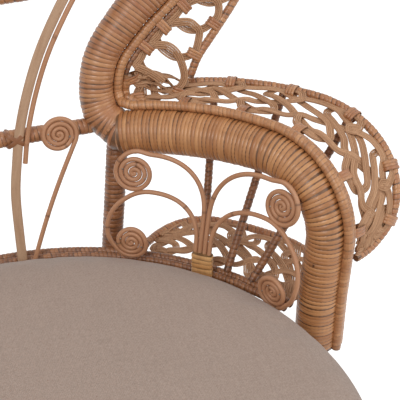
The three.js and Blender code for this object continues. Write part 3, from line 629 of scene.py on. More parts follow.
# %% The linen finish
BAND_WIDTH, BAND_SLANT = 11.0, 18.7
THREADS, WARP_STEP, WEFT_STEP = 870.0, 2.2, 1.3
LINEN_DARK, LINEN_PALE, FLECK = seen(142, 123, 111), seen(194, 173, 160), seen(128, 84, 68)


def linen(name):
    s = Finish(name, 0.9, sheen=0.25, specular=0.25)
    x, y, z = s.place()
    zigzag = ((x * 1000.0 / BAND_WIDTH).fract() - 0.5).abs() * BAND_SLANT
    warp = ((y * THREADS + zigzag) * (TURN / WARP_STEP)).sin()
    weft = (x * (THREADS * TURN / WEFT_STEP)).sin()
    slub = s.noise(x * 18.0, y * 420.0, 2.0, detail=3.0)
    slub_too = s.noise(x * 420.0, y * 18.0, 5.0, detail=3.0)
    cloud = s.noise(x * 7.0, y * 7.0, z * 7.0, detail=3.0)
    grain = s.noise(x * 620.0, y * 460.0, z * 460.0 + 11.0, detail=2.0).ramp(0.3, 0.7) - 0.5
    tone = warp * 0.25 + weft * 0.1 + grain * 0.5 + slub * 0.3 + slub_too * 0.25 + cloud * 0.25
    base = s.mix((tone * 0.62 + 0.25).clip(), LINEN_DARK, LINEN_PALE)
    base = s.mix(s.noise(x * 210.0, y * 210.0, 31.0).ramp(0.7, 0.78) * 0.4, base, FLECK)
    relief = warp * 0.5 + weft * 0.35 + slub + slub_too * 0.8
    return s.done(base, None, relief, strength=0.35, distance=0.0006)


LINEN = linen("linen")
print("linen:", len(LINEN.node_tree.nodes), "nodes")

# %% The deck's weave and the nails
REED_STEP = 0.012


def deck_weave(name):
    """Two over and two under: over is one where the reed that runs along X lies on top."""
    s = Finish(name, 0.6)
    x, y, _ = s.place()
    across, down = x / REED_STEP, y / REED_STEP
    over = ((across.floor() + down.floor()) / 4.0).fract().ramp(0.49, 0.51)
    crown_x = 1.0 - ((down.fract() - 0.5) * 2.0).abs() ** 4.0
    crown_y = 1.0 - ((across.fract() - 0.5) * 2.0).abs() ** 4.0
    height = over * crown_x + (1.0 - over) * crown_y
    tone = s.random(down.floor()) * over + s.random(across.floor() + 70.0) * (1.0 - over)
    base = s.mix(tone, seen(176, 132, 96), seen(140, 98, 66))
    # Painted shade: the weave's low places, between the reeds, darken towards a deep brown.
    base = s.mix(height.ramp(0.5, 0.0), base, seen(64, 38, 22))
    return s.done(base, None, height, strength=0.6, distance=0.001)


WEAVE = deck_weave("deck weave")
nail = Finish("nail head", 0.35)
nail.feed(nail.surface.inputs["Metallic"], 1.0)
nail.feed(nail.surface.inputs["Base Color"], seen(150, 140, 130))
NAIL_HEAD = nail.material
print("deck weave:", len(WEAVE.node_tree.nodes), "nodes")

# %% [markdown]
# ## The chair's lines
#
# These repeat the CAD's sizes, so that each pole lies where its solid lies: the seat is a circle,
# the arms stand on a wall round it that leans out, and the back is drawn on a plane that leans by
# ten degrees. A hoop in the CAD has 36 sides, and FLAT is the share of its radius that is left at the
# middle of a side.

# %% Sizes and the back's plane
FIT = 0.3
CANE_D, COLLAR_WALL, COLLAR_RISE = 5.2, 1.2, 25.0
RAIL_D, RAIL_DROP = 9.0, 8.0
FLAT = math.cos(math.pi / 36)
FAN_R = 287.5 + 0.5 + COLLAR_WALL + FIT + CANE_D / 2
RAIL_IN = (FAN_R + CANE_D / 2 + FIT) / FLAT + RAIL_D / 2
RAIL_OUT = RAIL_IN + RAIL_D + FIT
RAIL_FACE = RAIL_OUT + RAIL_D / 2
ARM_REAR, ARM_FRONT, ARM_FLARE, ARM_H = 24.0, 20.0, 8.0, 140.0
ARM_R = RAIL_FACE + FIT + ARM_FRONT
FAN_LEAN = (ARM_R + ARM_FLARE - ARM_REAR - FIT - CANE_D / 2 - FAN_R) / (127.0 - COLLAR_RISE)
LEAN = 10 * DEGREE
BACK_Y, HALF, TALL = 302.0, 390.0, 905.0
BACK_NORMAL = np.array([0, math.cos(LEAN), -math.sin(LEAN)])
print("rails at %.1f and %.1f mm, arm at %.1f mm" % (RAIL_IN, RAIL_OUT, ARM_R))

# %% [markdown]
# ## The tables
#
# Shares of the back's half width and of its height. A row of OUTLINE has the roll's place across and
# up, and then the rim's. SPLAT_LINE is the middle of a splat.

# %% The outline and the splat's line
OUTLINE = np.array([
    (0.375, 0.14, 0.62, 0.19), (0.354, 0.17, 0.631, 0.2), (0.348, 0.2, 0.648, 0.214),
    (0.373, 0.234, 0.695, 0.239), (0.45, 0.274, 0.752, 0.269), (0.588, 0.328, 0.83, 0.316),
    (0.752, 0.4, 0.94, 0.382), (0.895, 0.488, 1.075, 0.466), (0.985, 0.59, 1.21, 0.574),
    (1.0, 0.694, 1.275, 0.706), (0.93, 0.803, 1.19, 0.853), (0.775, 0.902, 0.985, 0.985),
    (0.54, 0.967, 0.68, 1.075), (0.275, 0.994, 0.34, 1.122), (0.0, 1.0, 0.0, 1.136)])
SPLAT_LINE = np.array([
    (0.077, -0.014), (0.079, 0.03), (0.085, 0.084), (0.1, 0.122), (0.118, 0.158), (0.153, 0.204),
    (0.2, 0.25), (0.262, 0.295), (0.36, 0.355), (0.5, 0.445), (0.655, 0.555), (0.8, 0.68), (0.9, 0.79)])


def floats(*values):
    """Arrays of one shape."""
    return np.broadcast_arrays(*[np.asarray(value, float) for value in values])


def on_back(x, up, depth=0.0):
    x, up, depth = floats(x, up, depth)
    return np.stack([x, BACK_Y + up * math.sin(LEAN) + depth * math.cos(LEAN),
                     SEAT + up * math.cos(LEAN) - depth * math.sin(LEAN)], -1)


def outline(rows, column, start=()):
    """The closed line of two columns, with a mirrored left half."""
    half = on_back(rows[:, column] * HALF, rows[:, column + 1] * TALL)
    if len(start):
        half = np.vstack([start, half])
    other = half[:-1][::-1] * np.array([-1, 1, 1])
    return Line(spline(np.vstack([half, other])), BACK_NORMAL)


# %% [markdown]
# ## The arm's line
#
# The arm is one pole that runs forward from the back, bends and comes down to the seat. Its line is
# drawn flat on the wall first, as length along the wall and height, and then rolled round the seat.

# %% The arm's line on its wall
REAR_END, REAR_PULL, BEND_START = np.array([246, 129]), np.array([165, 140]), np.array([84, 140])
BEND_LONG, BEND_HIGH, BEND_FOOT, FRONT_DROP = 84, 74, 66, 128
ARM_START = 21.2 * DEGREE

t = np.linspace(0, 1, 120)[:, None]
quarter = np.pi / 2 * (1 + t)
rear = (1 - t) ** 2 * REAR_END + 2 * t * (1 - t) * REAR_PULL + t * t * BEND_START
bend = np.hstack([BEND_LONG * np.cos(quarter), BEND_HIGH * np.sin(quarter)])
bend = np.array([BEND_LONG, BEND_FOOT]) + bend
front = np.array([0, BEND_FOOT]) + t * np.array([0, -FRONT_DROP])
WALL = np.vstack([rear, bend[1:], front[1:]])
wall_r = ARM_R + ARM_FLARE * np.maximum(WALL[:, 1], 0) / ARM_H
arm_points = polar(wall_r, ARM_START + WALL[:, 0] / ARM_R, WALL[:, 1])
ARM = Line(arm_points, unit(arm_points * np.array([1, 1, 0])))
wall_s = np.concatenate([[0], np.cumsum(np.linalg.norm(np.diff(WALL, axis=0), axis=1))])
WALL_SHARE = wall_s / wall_s[-1]
print("arm %.0f mm" % ARM.length)

# %% The back's roll and rim
RIM = outline(OUTLINE, 2)
turn_up = on_back(np.array([151, 140, 135.0]), np.array([133, 143, 160.0]), np.array([-13, -6, -1.0]))
BACK = outline(OUTLINE[2:], 0, np.vstack([ARM.at(np.array([12.0, 0.0])), turn_up]))
print("back roll %.0f mm, rim %.0f mm" % (BACK.length, RIM.length))

# %% [markdown]
# ## How thick the rolls are
#
# The arm is thicker behind, the back's roll is thinner at the waist, and both take the share of their
# line.

# %% Radii and a point beside the arm
def arm_s(share):
    """Length along the arm's line at a share of its wall."""
    return np.interp(share, WALL_SHARE, ARM.s)


def eased(value):
    t = np.clip(value, 0, 1)
    return t * t * (3 - 2 * t)


def arm_radius(share):
    return ARM_REAR + (ARM_FRONT - ARM_REAR) * eased((np.asarray(share) - 0.2) / 0.5)


def back_radius(share):
    from_end = np.minimum(share, 1 - share)
    return 18.5 + 4.3 * eased((from_end - 0.045) / 0.07) + 3.5 * np.clip(1 - from_end / 0.03, 0, 1)


def arm_point(share, out, crown):
    """A point this far out of the wall and across it from the arm's line."""
    share, out, crown = floats(share, out, crown)
    centre, side, up = ARM.frame(arm_s(share))
    return centre + up * out[..., None] + side * crown[..., None]


# %% [markdown]
# ## The beads
#
# A thinner wound pole, the bead, lies along the roll: on top of the arm, and outside the back. At the
# corner it goes from the one place to the other, so its direction off the roll is blended there. A
# second bead lies beside it on the arm and starts a short way up the back.

# %% The beads' lines
BEAD_R, BEAD_ANGLE, BEAD_CORNER = 5.3, 70 * DEGREE, 0.03
BEAD_STEP = 2 * math.asin((10.6 + FIT) / 2 / (ARM_REAR + BEAD_R + FIT))
OUTER_ANGLE = BEAD_ANGLE - BEAD_STEP * 1.12
CORNER_END = 0.052


def bead_point(share, angle, sink=0.6):
    reach = arm_radius(share) + BEAD_R - sink
    return arm_point(share, reach * np.cos(angle), reach * np.sin(angle))


_, arm_side, arm_up = (v[0] for v in ARM.frame(np.array([0.0])))
OFF_ARM = arm_up * math.cos(BEAD_ANGLE) + arm_side * math.sin(BEAD_ANGLE)
BESIDE_ARM = unit(arm_up * math.cos(OUTER_ANGLE - 0.6) + arm_side * math.sin(OUTER_ANGLE - 0.6))
BACK_TILT = 12 * DEGREE


def square_to(v, along):
    """The part of V that is square to the direction."""
    return unit(v - (v * along).sum(-1, keepdims=True) * along)


def back_bead_point(share, beside=0.0):
    """The bead's middle on the back, and beside it further out. The left half mirrors the right."""
    share, beside = floats(share, beside)
    near = np.minimum(share, 1 - share)
    centre, side, up = BACK.frame(near * BACK.length)
    along = np.cross(up, side)
    blend = eased(near / CORNER_END)[..., None]
    off_back = side * math.cos(BACK_TILT) + up * math.sin(BACK_TILT)
    off = square_to(OFF_ARM * (1 - blend) - off_back * blend, along)
    out = square_to(BESIDE_ARM * (1 - blend) - side * blend, along)
    place = centre + off * (back_radius(near) + BEAD_R - 0.3)[..., None] + out * beside[..., None]
    return place * np.where(share > 0.5, -1.0, 1.0)[..., None] ** np.array([1, 0, 0])


# %% [markdown]
# ## Camera, light and floor
#
# The camera was solved from the round edge of the cushion in the photograph. Light is soft and plain:
# a large key lamp, a fill, a top lamp and a pale world. The world is plain white to the camera. The
# floor is matt, and to the camera it glows as well, less near the chair, so that it is white far off
# and still shows the chair's shadow.

# %% The camera
CAMERA_DOWN, CAMERA_RIGHT = 32.74 * DEGREE, 19.45 * DEGREE
scene = bpy.context.scene
camera = bpy.data.objects.new("camera", bpy.data.cameras.new("camera"))
scene.collection.objects.link(camera)
scene.camera = camera
camera.location = (-0.068, -0.580 + SHIFT, 0.626 + SEAT * 0.001)
camera.rotation_euler = (math.pi / 2 - CAMERA_DOWN, 0, -CAMERA_RIGHT)
camera.data.lens = 85.5
camera.data.sensor_width = 36
camera.data.clip_start = 0.02
scene.view_settings.view_transform = "Standard"
print("camera at", [round(v, 3) for v in camera.location])

# %% The lamps
def lamp(name, place, aim, size, power):
    light = bpy.data.lights.new(name, "AREA")
    light.shape = "DISK"
    light.size = size
    light.energy = power
    obj = bpy.data.objects.new(name, light)
    scene.collection.objects.link(obj)
    obj.location = place
    direction = np.array(aim, float) - np.array(place, float)
    obj.rotation_euler = (math.acos(-direction[2] / np.linalg.norm(direction)), 0,
                          math.atan2(direction[1], direction[0]) + math.pi / 2 + math.pi)
    obj.visible_camera = False
    return obj


lamp("key", (-1.6, -2.2, 2.9), (0, 0, 0.5), 1.6, 46)
lamp("fill", (2.6, -1.6, 1.9), (0, 0, 0.5), 2.2, 24)
lamp("top", (0.2, 0.5, 3.4), (0, 0, 0.4), 2.6, 13)
print("lamps:", [light.name for light in bpy.data.lights])

# %% The world
SKY_LIGHT = 0.48


def looked_at(g):
    """One for what the camera sees, also as a reflection or through glass, and nought for the light."""
    by = g.nodes("ShaderNodeLightPath")
    return (by[0] + by[3] + by[6]).clip()


world = bpy.data.worlds.new("studio")
scene.world = world
world.use_nodes = True
g = Graph(world.node_tree)
g.tree.nodes.clear()
soft = g.node("ShaderNodeBackground", None, {"Color": (1.0, 1.0, 1.0), "Strength": SKY_LIGHT})
plain = g.node("ShaderNodeBackground", None, {"Color": (1.0, 1.0, 1.0), "Strength": 1.0})
sky = g.node("ShaderNodeMixShader", None, {0: looked_at(g), 1: soft, 2: plain})
g.nodes("ShaderNodeOutputWorld", None, {"Surface": sky})
print("world:", len(world.node_tree.nodes), "nodes")

# %% The floor
GLOW_FROM, GLOW_FULL, GLOW_LEAST, GLOW_MORE = 0.25, 0.7, 0.1, 0.56
floor_mesh = bpy.data.meshes.new("floor")
floor_mesh.from_pydata([(-6, -6, 0), (6, -6, 0), (6, 6, 0), (-6, 6, 0)], [], [(0, 1, 2, 3)])
floor = bpy.data.objects.new("floor", floor_mesh)
scene.collection.objects.link(floor)
paper = bpy.data.materials.new("paper")
paper.use_nodes = True
g = Graph(paper.node_tree)
g.tree.nodes.clear()
matt = g.node("ShaderNodeBsdfDiffuse", None, {"Color": (0.8, 0.8, 0.8)})
x, y, _ = g.node("ShaderNodeTexCoord", out=3).arrow().split()
from_axis = (x * x + (y - SHIFT) * (y - SHIFT)) ** 0.5
strength = from_axis.ramp(GLOW_FROM, GLOW_FULL) * GLOW_MORE + GLOW_LEAST
glow = g.node("ShaderNodeEmission", None, {"Color": (1.0, 1.0, 1.0), "Strength": strength})
white = g.node("ShaderNodeAddShader", None, {0: matt, 1: glow})
by_eye = g.node("ShaderNodeMixShader", None, {0: looked_at(g), 1: matt, 2: white})
g.nodes("ShaderNodeOutputMaterial", None, {"Surface": by_eye})
floor_mesh.materials.append(paper)
print("floor:", len(paper.node_tree.nodes), "nodes")

# %% [markdown]
# ## Arms and back: the wound poles
#
# The arm's turns start on its under side, which nobody sees. The arm swells a little towards its
# foot, as in the photograph.

# %% The arms' rolls and second beads
SIDES = (("right", False), ("left", True))
FOOT_SWELL = 2.5


def roll_radius(share):
    return arm_radius(share) + FOOT_SWELL * eased((share - 0.6) / 0.3)


for side, mirrored in SIDES:
    seed = 11.0 if mirrored else 5.0
    node = "arm_roll_" + side
    grow(node, [path(ARM, roll_radius)], PEEL_GROWTH, PEEL, "peel", [node], mirror=mirrored,
         Strip=0.0045, Columns=30, Start=-math.pi / 2, Lift=0.0008, Seed=seed)
    beside = back_bead_point(np.linspace(0.040, 28.0 / BACK.length, 8), 2 * BEAD_R - 0.4)
    on_arm = bead_point(np.linspace(BEAD_CORNER + 0.028, 1, 60), OUTER_ANGLE)
    line = Line(spline(np.vstack([beside, on_arm]), 12))
    node = "arm_outer_bead_" + side
    grow(node, [path(line, BEAD_R)], PEEL_GROWTH, PEEL_BEAD, "peel", [node], mirror=mirrored,
         Strip=0.0043, Columns=12, Lift=0.0003, Seed=seed + 1)

# %% The back's roll, bead, edging and rim
grow("back_roll", [path(BACK, back_radius, 4.0)], PEEL_GROWTH, PEEL_RED, "peel", ["back_roll"],
     Strip=0.0048, Columns=24, Lift=0.0007, Seed=21.0)
half_bead = np.vstack([bead_point(np.linspace(1, BEAD_CORNER + 0.004, 54), BEAD_ANGLE),
                       back_bead_point(np.linspace(34.0 / BACK.length, CORNER_END, 9)),
                       back_bead_point(np.linspace(CORNER_END, 0.5, 70)[1:])])
bead = Line(spline(np.vstack([half_bead, half_bead[:-1][::-1] * [-1, 1, 1]]), 12))
grow("edge_bead", [path(bead, BEAD_R)], PEEL_GROWTH, PEEL_BEAD, "peel", ["edge_bead"],
     Strip=0.0044, Columns=12, Lift=0.0003, Seed=31.0)
edging = back_bead_point(np.linspace(0.040, 0.96, 200), BEAD_R + 3.0)
grow("back_edging", [path(Line(edging), 2.8)], PEEL_GROWTH, PEEL_SHADED, "dark_peel",
     Strip=0.0048, Columns=10, Lift=0.0004, Seed=33.0)
grow("back_rim", [path(RIM, 4.8)], PEEL_GROWTH, PEEL_RED, "peel", ["back_rim"],
     Strip=0.0052, Columns=12, Lift=0.0004, Seed=32.0)

# %% The rails of the back
LOWER_UP, UPPER_UP, BACK_RAIL_R = 135.0, 285.0, 9.0
for name, up, reach, bow in (("back_lower_rail", LOWER_UP, 0.375 * HALF, 0.0),
                             ("back_upper_rail", UPPER_UP, 0.45 * HALF + 22.8, 8.0)):
    share = np.linspace(-1, 1, 40)
    line = Line(on_back(share * (reach - 18), up + bow * share ** 2), BACK_NORMAL)
    grow(name, [path(line, BACK_RAIL_R)], PEEL_GROWTH, PEEL_RED, "peel", [name],
         Strip=0.005, Columns=18, Seed=41.0)
print("wound poles so far:", len(pieces_made))

# %% [markdown]
# ## Posts, struts and the shelves' rims
#
# A shelf's rim springs from the arm, swells out and comes back to it. Its reach off the arm is a
# formula of the share along the arm, and the lattice below fills the strip between the two.

# %% The rims' lines
RIM_R = 4.8
SHELF_OUT, SHELF_TAPER, SHELF_FROM, SHELF_TO = 78.0, 0.36, 0.112, 0.74
LOWER_OUT, LOWER_H, LOWER_FROM, LOWER_TO = 92.0, -15.0, 60, 23.5


def straight(a, b):
    return Line(np.linspace(a, b, 12))


def shelf_reach(share):
    closing = np.sqrt(np.maximum(1 - np.maximum(share, 0) ** 5, 0))
    return SHELF_OUT * (1 - SHELF_TAPER * (1 - share) ** 3) * closing


def shelf_arm(share):
    return SHELF_FROM + (SHELF_TO - SHELF_FROM) * share


def shelf_inner(share):
    return (arm_radius(share) + BEAD_R + FIT) * math.cos(OUTER_ANGLE) + BEAD_R + 0.9


def shelf_crown(share):
    return (arm_radius(share) + BEAD_R + FIT) * math.sin(OUTER_ANGLE)


def shelf_rim(share, inwards=0.0):
    at = shelf_arm(share)
    reach = np.maximum(shelf_reach(share), 2 * inwards)
    return arm_point(at, shelf_inner(at) + RIM_R + reach - inwards, shelf_crown(at))


def lower_angle(share):
    return (LOWER_FROM + (LOWER_TO - LOWER_FROM) * share) * DEGREE


def lower_rim(share, inwards=0.0):
    closing = np.maximum(1 - np.abs(2 * share - 1) ** 4, 0) ** 0.8
    reach = np.maximum(LOWER_OUT * closing, 2 * inwards)
    return polar(RAIL_FACE + FIT + RIM_R + reach - inwards, lower_angle(share), LOWER_H)


print("shelf rim reaches %.1f mm off the arm" % shelf_reach(np.linspace(0, 1, 50)).max())

# %% Posts, struts and rims
POST_R, STRUT_R = 12.0, 4.6
STRUTS = ((45.4, 0.11), (39.8, 0.34), (34.0, 0.56))

post = straight(polar(RAIL_FACE + FIT + POST_R, 66.2 * DEGREE, -42.0), on_back(153.0, 112.0))
poles = [("rear_post_", post, POST_R)]
for i, (rail_at, rim_at) in enumerate(STRUTS):
    line = straight(polar(RAIL_OUT, rail_at * DEGREE, 3 - RAIL_DROP), shelf_rim(np.array([rim_at]))[0])
    poles.append(("arm_strut_%d_" % (i + 1), line, STRUT_R))
poles.append(("arm_shelf_rim_", Line(shelf_rim(np.linspace(0, 1, 120))), RIM_R))
poles.append(("lower_shelf_rim_", Line(lower_rim(np.linspace(0, 0.985, 120))), RIM_R))
for side, mirrored in SIDES:
    seed = 71.0 if mirrored else 61.0
    for i, (name, line, radius) in enumerate(poles):
        finish, slot = (PEEL_RED, "peel") if "rim" in name else (PEEL_SHADED, "dark_peel")
        grow(name + side, [path(line, radius)], PEEL_GROWTH, finish, slot, [name + side], mirror=mirrored,
             Strip=0.0052, Columns=20 if radius > 9 else 12, Lift=0.0006, Seed=seed + i)

# %% [markdown]
# ## The seat's rails, the hoops and the base
#
# Two wound rails run like a horseshoe round the back of the seat, from the foot of one arm to the
# other. The base narrows to a waist, like an hourglass: one rib is drawn, and a tree turns copies
# of it round the seat's axis. The ribs at the back run on up to the rails. The upper inner hoop lies
# under the deck, which lies under the cushion.

# %% Rails and hoops
def hoop(radius, height):
    return Line(polar(radius, np.linspace(0, TURN, 361) - math.pi / 2, height), (0, 0, 1))


RAIL_END = 24.0 * DEGREE
WAIST_R, WAIST_H, FOOT_R, RIB_R = 158.0, 222.0, 268.0, 4.5
PAD_DEPTH, DECK_H, INNER_HOOP_R = 46.0, 6.0, 7.0
HOOP_H = SEAT - PAD_DEPTH - FIT - DECK_H - FIT - INNER_HOOP_R
rail_angle = np.linspace(RAIL_END, math.pi - RAIL_END, 200)
waist_hoop_r = (WAIST_R + RIB_R + FIT) / FLAT + 10 / math.cos(math.pi / 6)
inner_rail = Line(polar(RAIL_IN, rail_angle, -RAIL_DROP), (0, 0, 1))
outer_rail = Line(polar(RAIL_OUT, rail_angle, -RAIL_DROP), (0, 0, 1))
for name, line, radius, finish, slot in (
        ("seat_rail_inner", inner_rail, RAIL_D / 2, PEEL_SHADED, "dark_peel"),
        ("seat_rail_outer", outer_rail, RAIL_D / 2, PEEL_SHADED, "dark_peel"),
        ("waist_hoop", hoop(waist_hoop_r, WAIST_H - SEAT), 10.0, PEEL, "peel"),
        ("floor_ring", hoop(FOOT_R, 12.0 - SEAT), 12.0, PEEL_SHADED, "dark_peel")):
    grow(name, [path(line, radius)], PEEL_GROWTH, finish, slot, [name],
         Strip=0.0049, Columns=16 if radius > 9 else 12, Lift=0.0005, Seed=radius * 7)

# %% The tree that turns ribs round
def ring_growth():
    """Copies of a line turned round the seat's axis, each swept as a cane."""
    g = Growth("ring of ribs", Columns=10, Count=9, First=0.0, Step=0.4)
    copies, copy = g.nodes("GeometryNodeDuplicateElements", {"domain": "SPLINE"},
                           {0: g.lines((0, 0, 1)), "Amount": g.given["Count"]})
    spin = {"Angle": g.given["First"] + copy * g.given["Step"]}
    spot = g.node("GeometryNodeInputPosition")
    about_z = {"rotation_type": "Z_AXIS"}
    around = g.node("ShaderNodeVectorRotate", about_z, {"Vector": spot, "Center": (0, SHIFT, 0), **spin})
    facing = g.node("ShaderNodeVectorRotate", about_z, {"Vector": (1, 0, 0), **spin})
    ribs = g.node("GeometryNodeSetPosition", None, {0: copies, "Position": around})
    ribs = g.node("GeometryNodeSetCurveNormal", {"mode": "FREE"}, {0: ribs, 2: facing})
    ribs = g.store(ribs, strand=g.read("strand") + copy * NEXT_STRAND)
    return g.close(g.swept(ribs, g.section(g.given["Columns"], 1.0, 1.0, 2.0), g.read("thick")))


RING_GROWTH = ring_growth()
print("ring tree:", len(RING_GROWTH.tree.nodes), "nodes")

# %% The base
RIBS = 14
HOOP_INSET = 9.5
step = TURN / RIBS


def rib(top):
    """A rib from this radius at the top to the floor ring."""
    share = 1 - np.linspace(0, 2, 61)
    radius = WAIST_R + (np.where(share > 0, top, FOOT_R) - WAIST_R) * np.abs(share) ** 1.7
    height = WAIST_H + (np.where(share > 0, HOOP_H, 24.0) - WAIST_H) * np.abs(share)
    return polar(radius, 0.0, height - SEAT)


behind = [i for i in range(RIBS) if math.sin((i + 0.5) * step) > math.sin(RAIL_END)]
tall_rib = np.vstack([polar(RAIL_IN, 0.0, np.array([-RAIL_DROP - RAIL_D / 2])), rib(RAIL_IN)])
grow("ribs_behind", [cane_path(Line(tall_rib), RIB_R, 5.0, 3)], RING_GROWTH, CANE, "cane",
     Count=len(behind), First=(behind[0] + 0.5) * step, Step=step)
grow("ribs_in_front", [cane_path(Line(rib(RAIL_IN - HOOP_INSET)), RIB_R, 5.0, 4)], RING_GROWTH, CANE, "cane",
     Count=RIBS - len(behind), First=(behind[-1] + 1.5) * step, Step=step)
hoops = [cane_path(hoop(radius - HOOP_INSET, height - SEAT), INNER_HOOP_R, 6.0, 30, knots=False)
         for radius, height in ((RAIL_IN, HOOP_H), (WAIST_R, WAIST_H))]
inner_hoops = grow("inner_hoops", hoops, CANE_GROWTH, CANE, "cane")
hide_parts(*["base_cage_%d" % (i + 1) for i in range(4)])

# %% [markdown]
# ## Looped reed
#
# On the arms' shelves four strands run through each other: two loop round the inner bead and two
# round the rim, each in every second place. The table gives one strand's way over two places: along
# the shelf in places, across it from the bead to the rim as a share of the width, and over or under
# its neighbour. The strands of the rim go the same way turned half round. On the back a single
# strand makes a ring in each place, from the bead round by the rim.

# %% The ways of the strands
SHELF_WAY = [
    (-1.2, 0.90, 1), (-0.9, 0.86, -1), (-0.62, 0.76, -1), (-0.3, 0.62, 0.4), (0, 0.50, 1),
    (0.2, 0.41, 0.1), (0.30, 0.28, -1), (0.25, 0.17, -0.4), (0.10, 0.12, 0), (-0.06, 0.12, 0.3),
    (-0.21, 0.21, 1), (-0.30, 0.33, 1), (-0.24, 0.44, 0.4), (-0.08, 0.50, -1), (0.12, 0.61, -1),
    (0.33, 0.77, 1), (0.5, 0.88, 0.2)]


def strip_reach(strip):
    """Shares along a strip, with its reach there in widths."""
    share = np.linspace(0, 1, 401)
    inner, outer, _ = strip(share)
    width = np.linalg.norm(outer - inner, axis=1)
    stretch = np.linalg.norm(np.diff((inner + outer) / 2, axis=0), axis=1) / ((width[1:] + width[:-1]) / 2)
    return share, np.concatenate([[0], np.cumsum(stretch)])


SPREAD, SPREAD_UP, LIFT_OVER_RIM = 0.012, 0.12, 1.5
END_GAP, END_ROUND = 0.03, 0.04
FOLD_LOW, FOLD_HIGH = 0.14, 0.86


def way_on(strip, places, reach, share, seed, swing=1.9, folded=False):
    """Lines on a strip through places (reach in widths, share across, over or under).

    Folded strands turn back at the strip's ends, and the others end there.
    """
    random = np.random.default_rng(seed)
    fine = spline(places + random.normal(0, 1, places.shape) * np.array([SPREAD, SPREAD, SPREAD_UP]), 9)
    inside = (fine[:, 0] > 0.02) & (fine[:, 0] < reach[-1] - 0.02)
    runs = np.split(np.arange(len(fine)), np.where(np.diff(inside.astype(int)) != 0)[0] + 1)
    lines = []
    for run in runs:
        if inside[run[0]] and len(run) >= 12:
            first, last = run[0], run[-1]
            while folded and first > 0 and FOLD_LOW < fine[first, 1] < FOLD_HIGH:
                first -= 1
            while folded and last < len(fine) - 1 and FOLD_LOW < fine[last, 1] < FOLD_HIGH:
                last += 1
            part = fine[first:last + 1].copy()
            part[:, 0] = END_GAP + np.hypot(part[:, 0] - END_GAP, END_ROUND)
            part[:, 0] = reach[-1] - END_GAP - np.hypot(reach[-1] - END_GAP - part[:, 0], END_ROUND)
            inner, outer, normal = strip(np.interp(part[:, 0], reach, share))
            lift = part[:, 2] * swing + LIFT_OVER_RIM * np.clip((part[:, 1] - 0.88) / 0.12, 0, 1)
            lines.append(Line(inner + (outer - inner) * part[:, 1:2] + normal * lift[:, None], normal))
    return lines


# %% Strands of the shelves and of the back
def shelf_weave(strip, place, first, seed):
    """Four strands on a shelf. Place is a loop's length in widths, and first is the first knot's reach."""
    share, reach = strip_reach(strip)
    lines = []
    for turned in (False, True):
        for odd in (0, 1):
            loops = range(-4 + odd, int(reach[-1] / place) + 5, 2)
            way = np.vstack([np.array(SHELF_WAY) + [k, 0, 0] for k in loops])
            if turned:
                way = (way * [-1, -1, 1] + [0.04 + 2 * round(reach[-1] / place / 2), 1.12, 0])[::-1]
            way[:, 0] = first + way[:, 0] * place
            lines += way_on(strip, way, reach, share, seed + odd + 2 * turned, folded=True)
    return [cane_path(line, 1.14, 2.6, seed + i, knots=False) for i, line in enumerate(lines)]


def back_weave(strip, place, first, seed):
    """One strand: a ring in each place, from the inner knot round by the rim, then on along the bead."""
    share, reach = strip_reach(strip)
    t = np.linspace(0, TURN, 13)[:-1]
    on, across = 0.275 * (np.cos(t) - 1) + 0.264 * np.sin(t), 0.5 - 0.45 * np.cos(t) + 0.162 * np.sin(t)
    ring = np.vstack([np.stack([on, across, np.sin(t)], -1), [0.30, 0.07, 0.6]])
    way = np.vstack([ring + [first + k * place, 0, 0] for k in range(-1, int(reach[-1] / place) + 3)])
    lines = way_on(strip, way, reach, share, seed, swing=2.1)
    return [cane_path(line, 1.16, 3.2, seed, knots=False) for line in lines]


# %% [markdown]
# ## Where the lattices lie
#
# A strip is two edges and a normal at each share along it. The shelf's strip climbs into the corner
# behind the arm, where it narrows and ends at the back's edging.

# %% The back's strip
REED_W = 7.0
BACK_FIRST, RIM_OVERRUN = 0.045, 24.0


def back_strip(share):
    inner = back_bead_point(BACK_FIRST + (1 - 2 * BACK_FIRST) * share, BEAD_R + 5.5)
    s = share * (RIM.length + 2 * RIM_OVERRUN) - RIM_OVERRUN
    past = s - np.clip(s, 0, RIM.length)
    centre, side, _ = RIM.frame(s)
    outer = centre + side * 6.0 + np.where(past[:, None] < 0, RIM.along[0], RIM.along[-1]) * past[:, None]
    return inner, outer, np.broadcast_to(-BACK_NORMAL, centre.shape)


# %% The shelves' strips
CORNER_PART, LATTICE_FROM, LATTICE_LONG = 0.1, 0.06, 0.88
CORNER_FOOT = back_bead_point(55.0 / BACK.length, 20.0)
CORNER_TOP = back_bead_point(84.0 / BACK.length, 13.0)
CORNER_TIP = back_bead_point(104.0 / BACK.length, 26.0)


def shelf_strip(share):
    part = (0.98 + CORNER_PART) * np.asarray(share, float) - CORNER_PART
    ahead = np.maximum(part, 0)
    into = np.clip(-part / CORNER_PART, 0, 1)[:, None]
    at = BEAD_CORNER + (SHELF_TO - BEAD_CORNER) * ahead
    inner = arm_point(at, shelf_inner(at) + REED_W / 2 - 3.0, shelf_crown(at))
    outer = shelf_rim(ahead, REED_W / 2)
    _, crown, _ = ARM.frame(arm_s((at + shelf_arm(ahead)) / 2))
    inner = inner * (1 - into) ** 2 + CORNER_FOOT * 2 * into * (1 - into) + CORNER_TOP * into ** 2
    outer = outer * (1 - into) + CORNER_TIP * into + np.array([0, 0, 20.0]) * into * (1 - into)
    return inner, outer, unit(crown * (1 - into * 0.5) - BACK_NORMAL * into * 0.7)


def lower_strip(share):
    part = LATTICE_FROM + LATTICE_LONG * share
    inner = polar(RAIL_FACE + REED_W / 2 - 1.0, lower_angle(part), LOWER_H)
    return inner, lower_rim(part, REED_W / 2), np.broadcast_to(np.array([0, 0, 1.0]), inner.shape)


REACHES = [strip_reach(strip)[1][-1] for strip in (back_strip, shelf_strip, lower_strip)]
print("reach of back, shelf and lower shelf:", [round(float(v), 2) for v in REACHES])

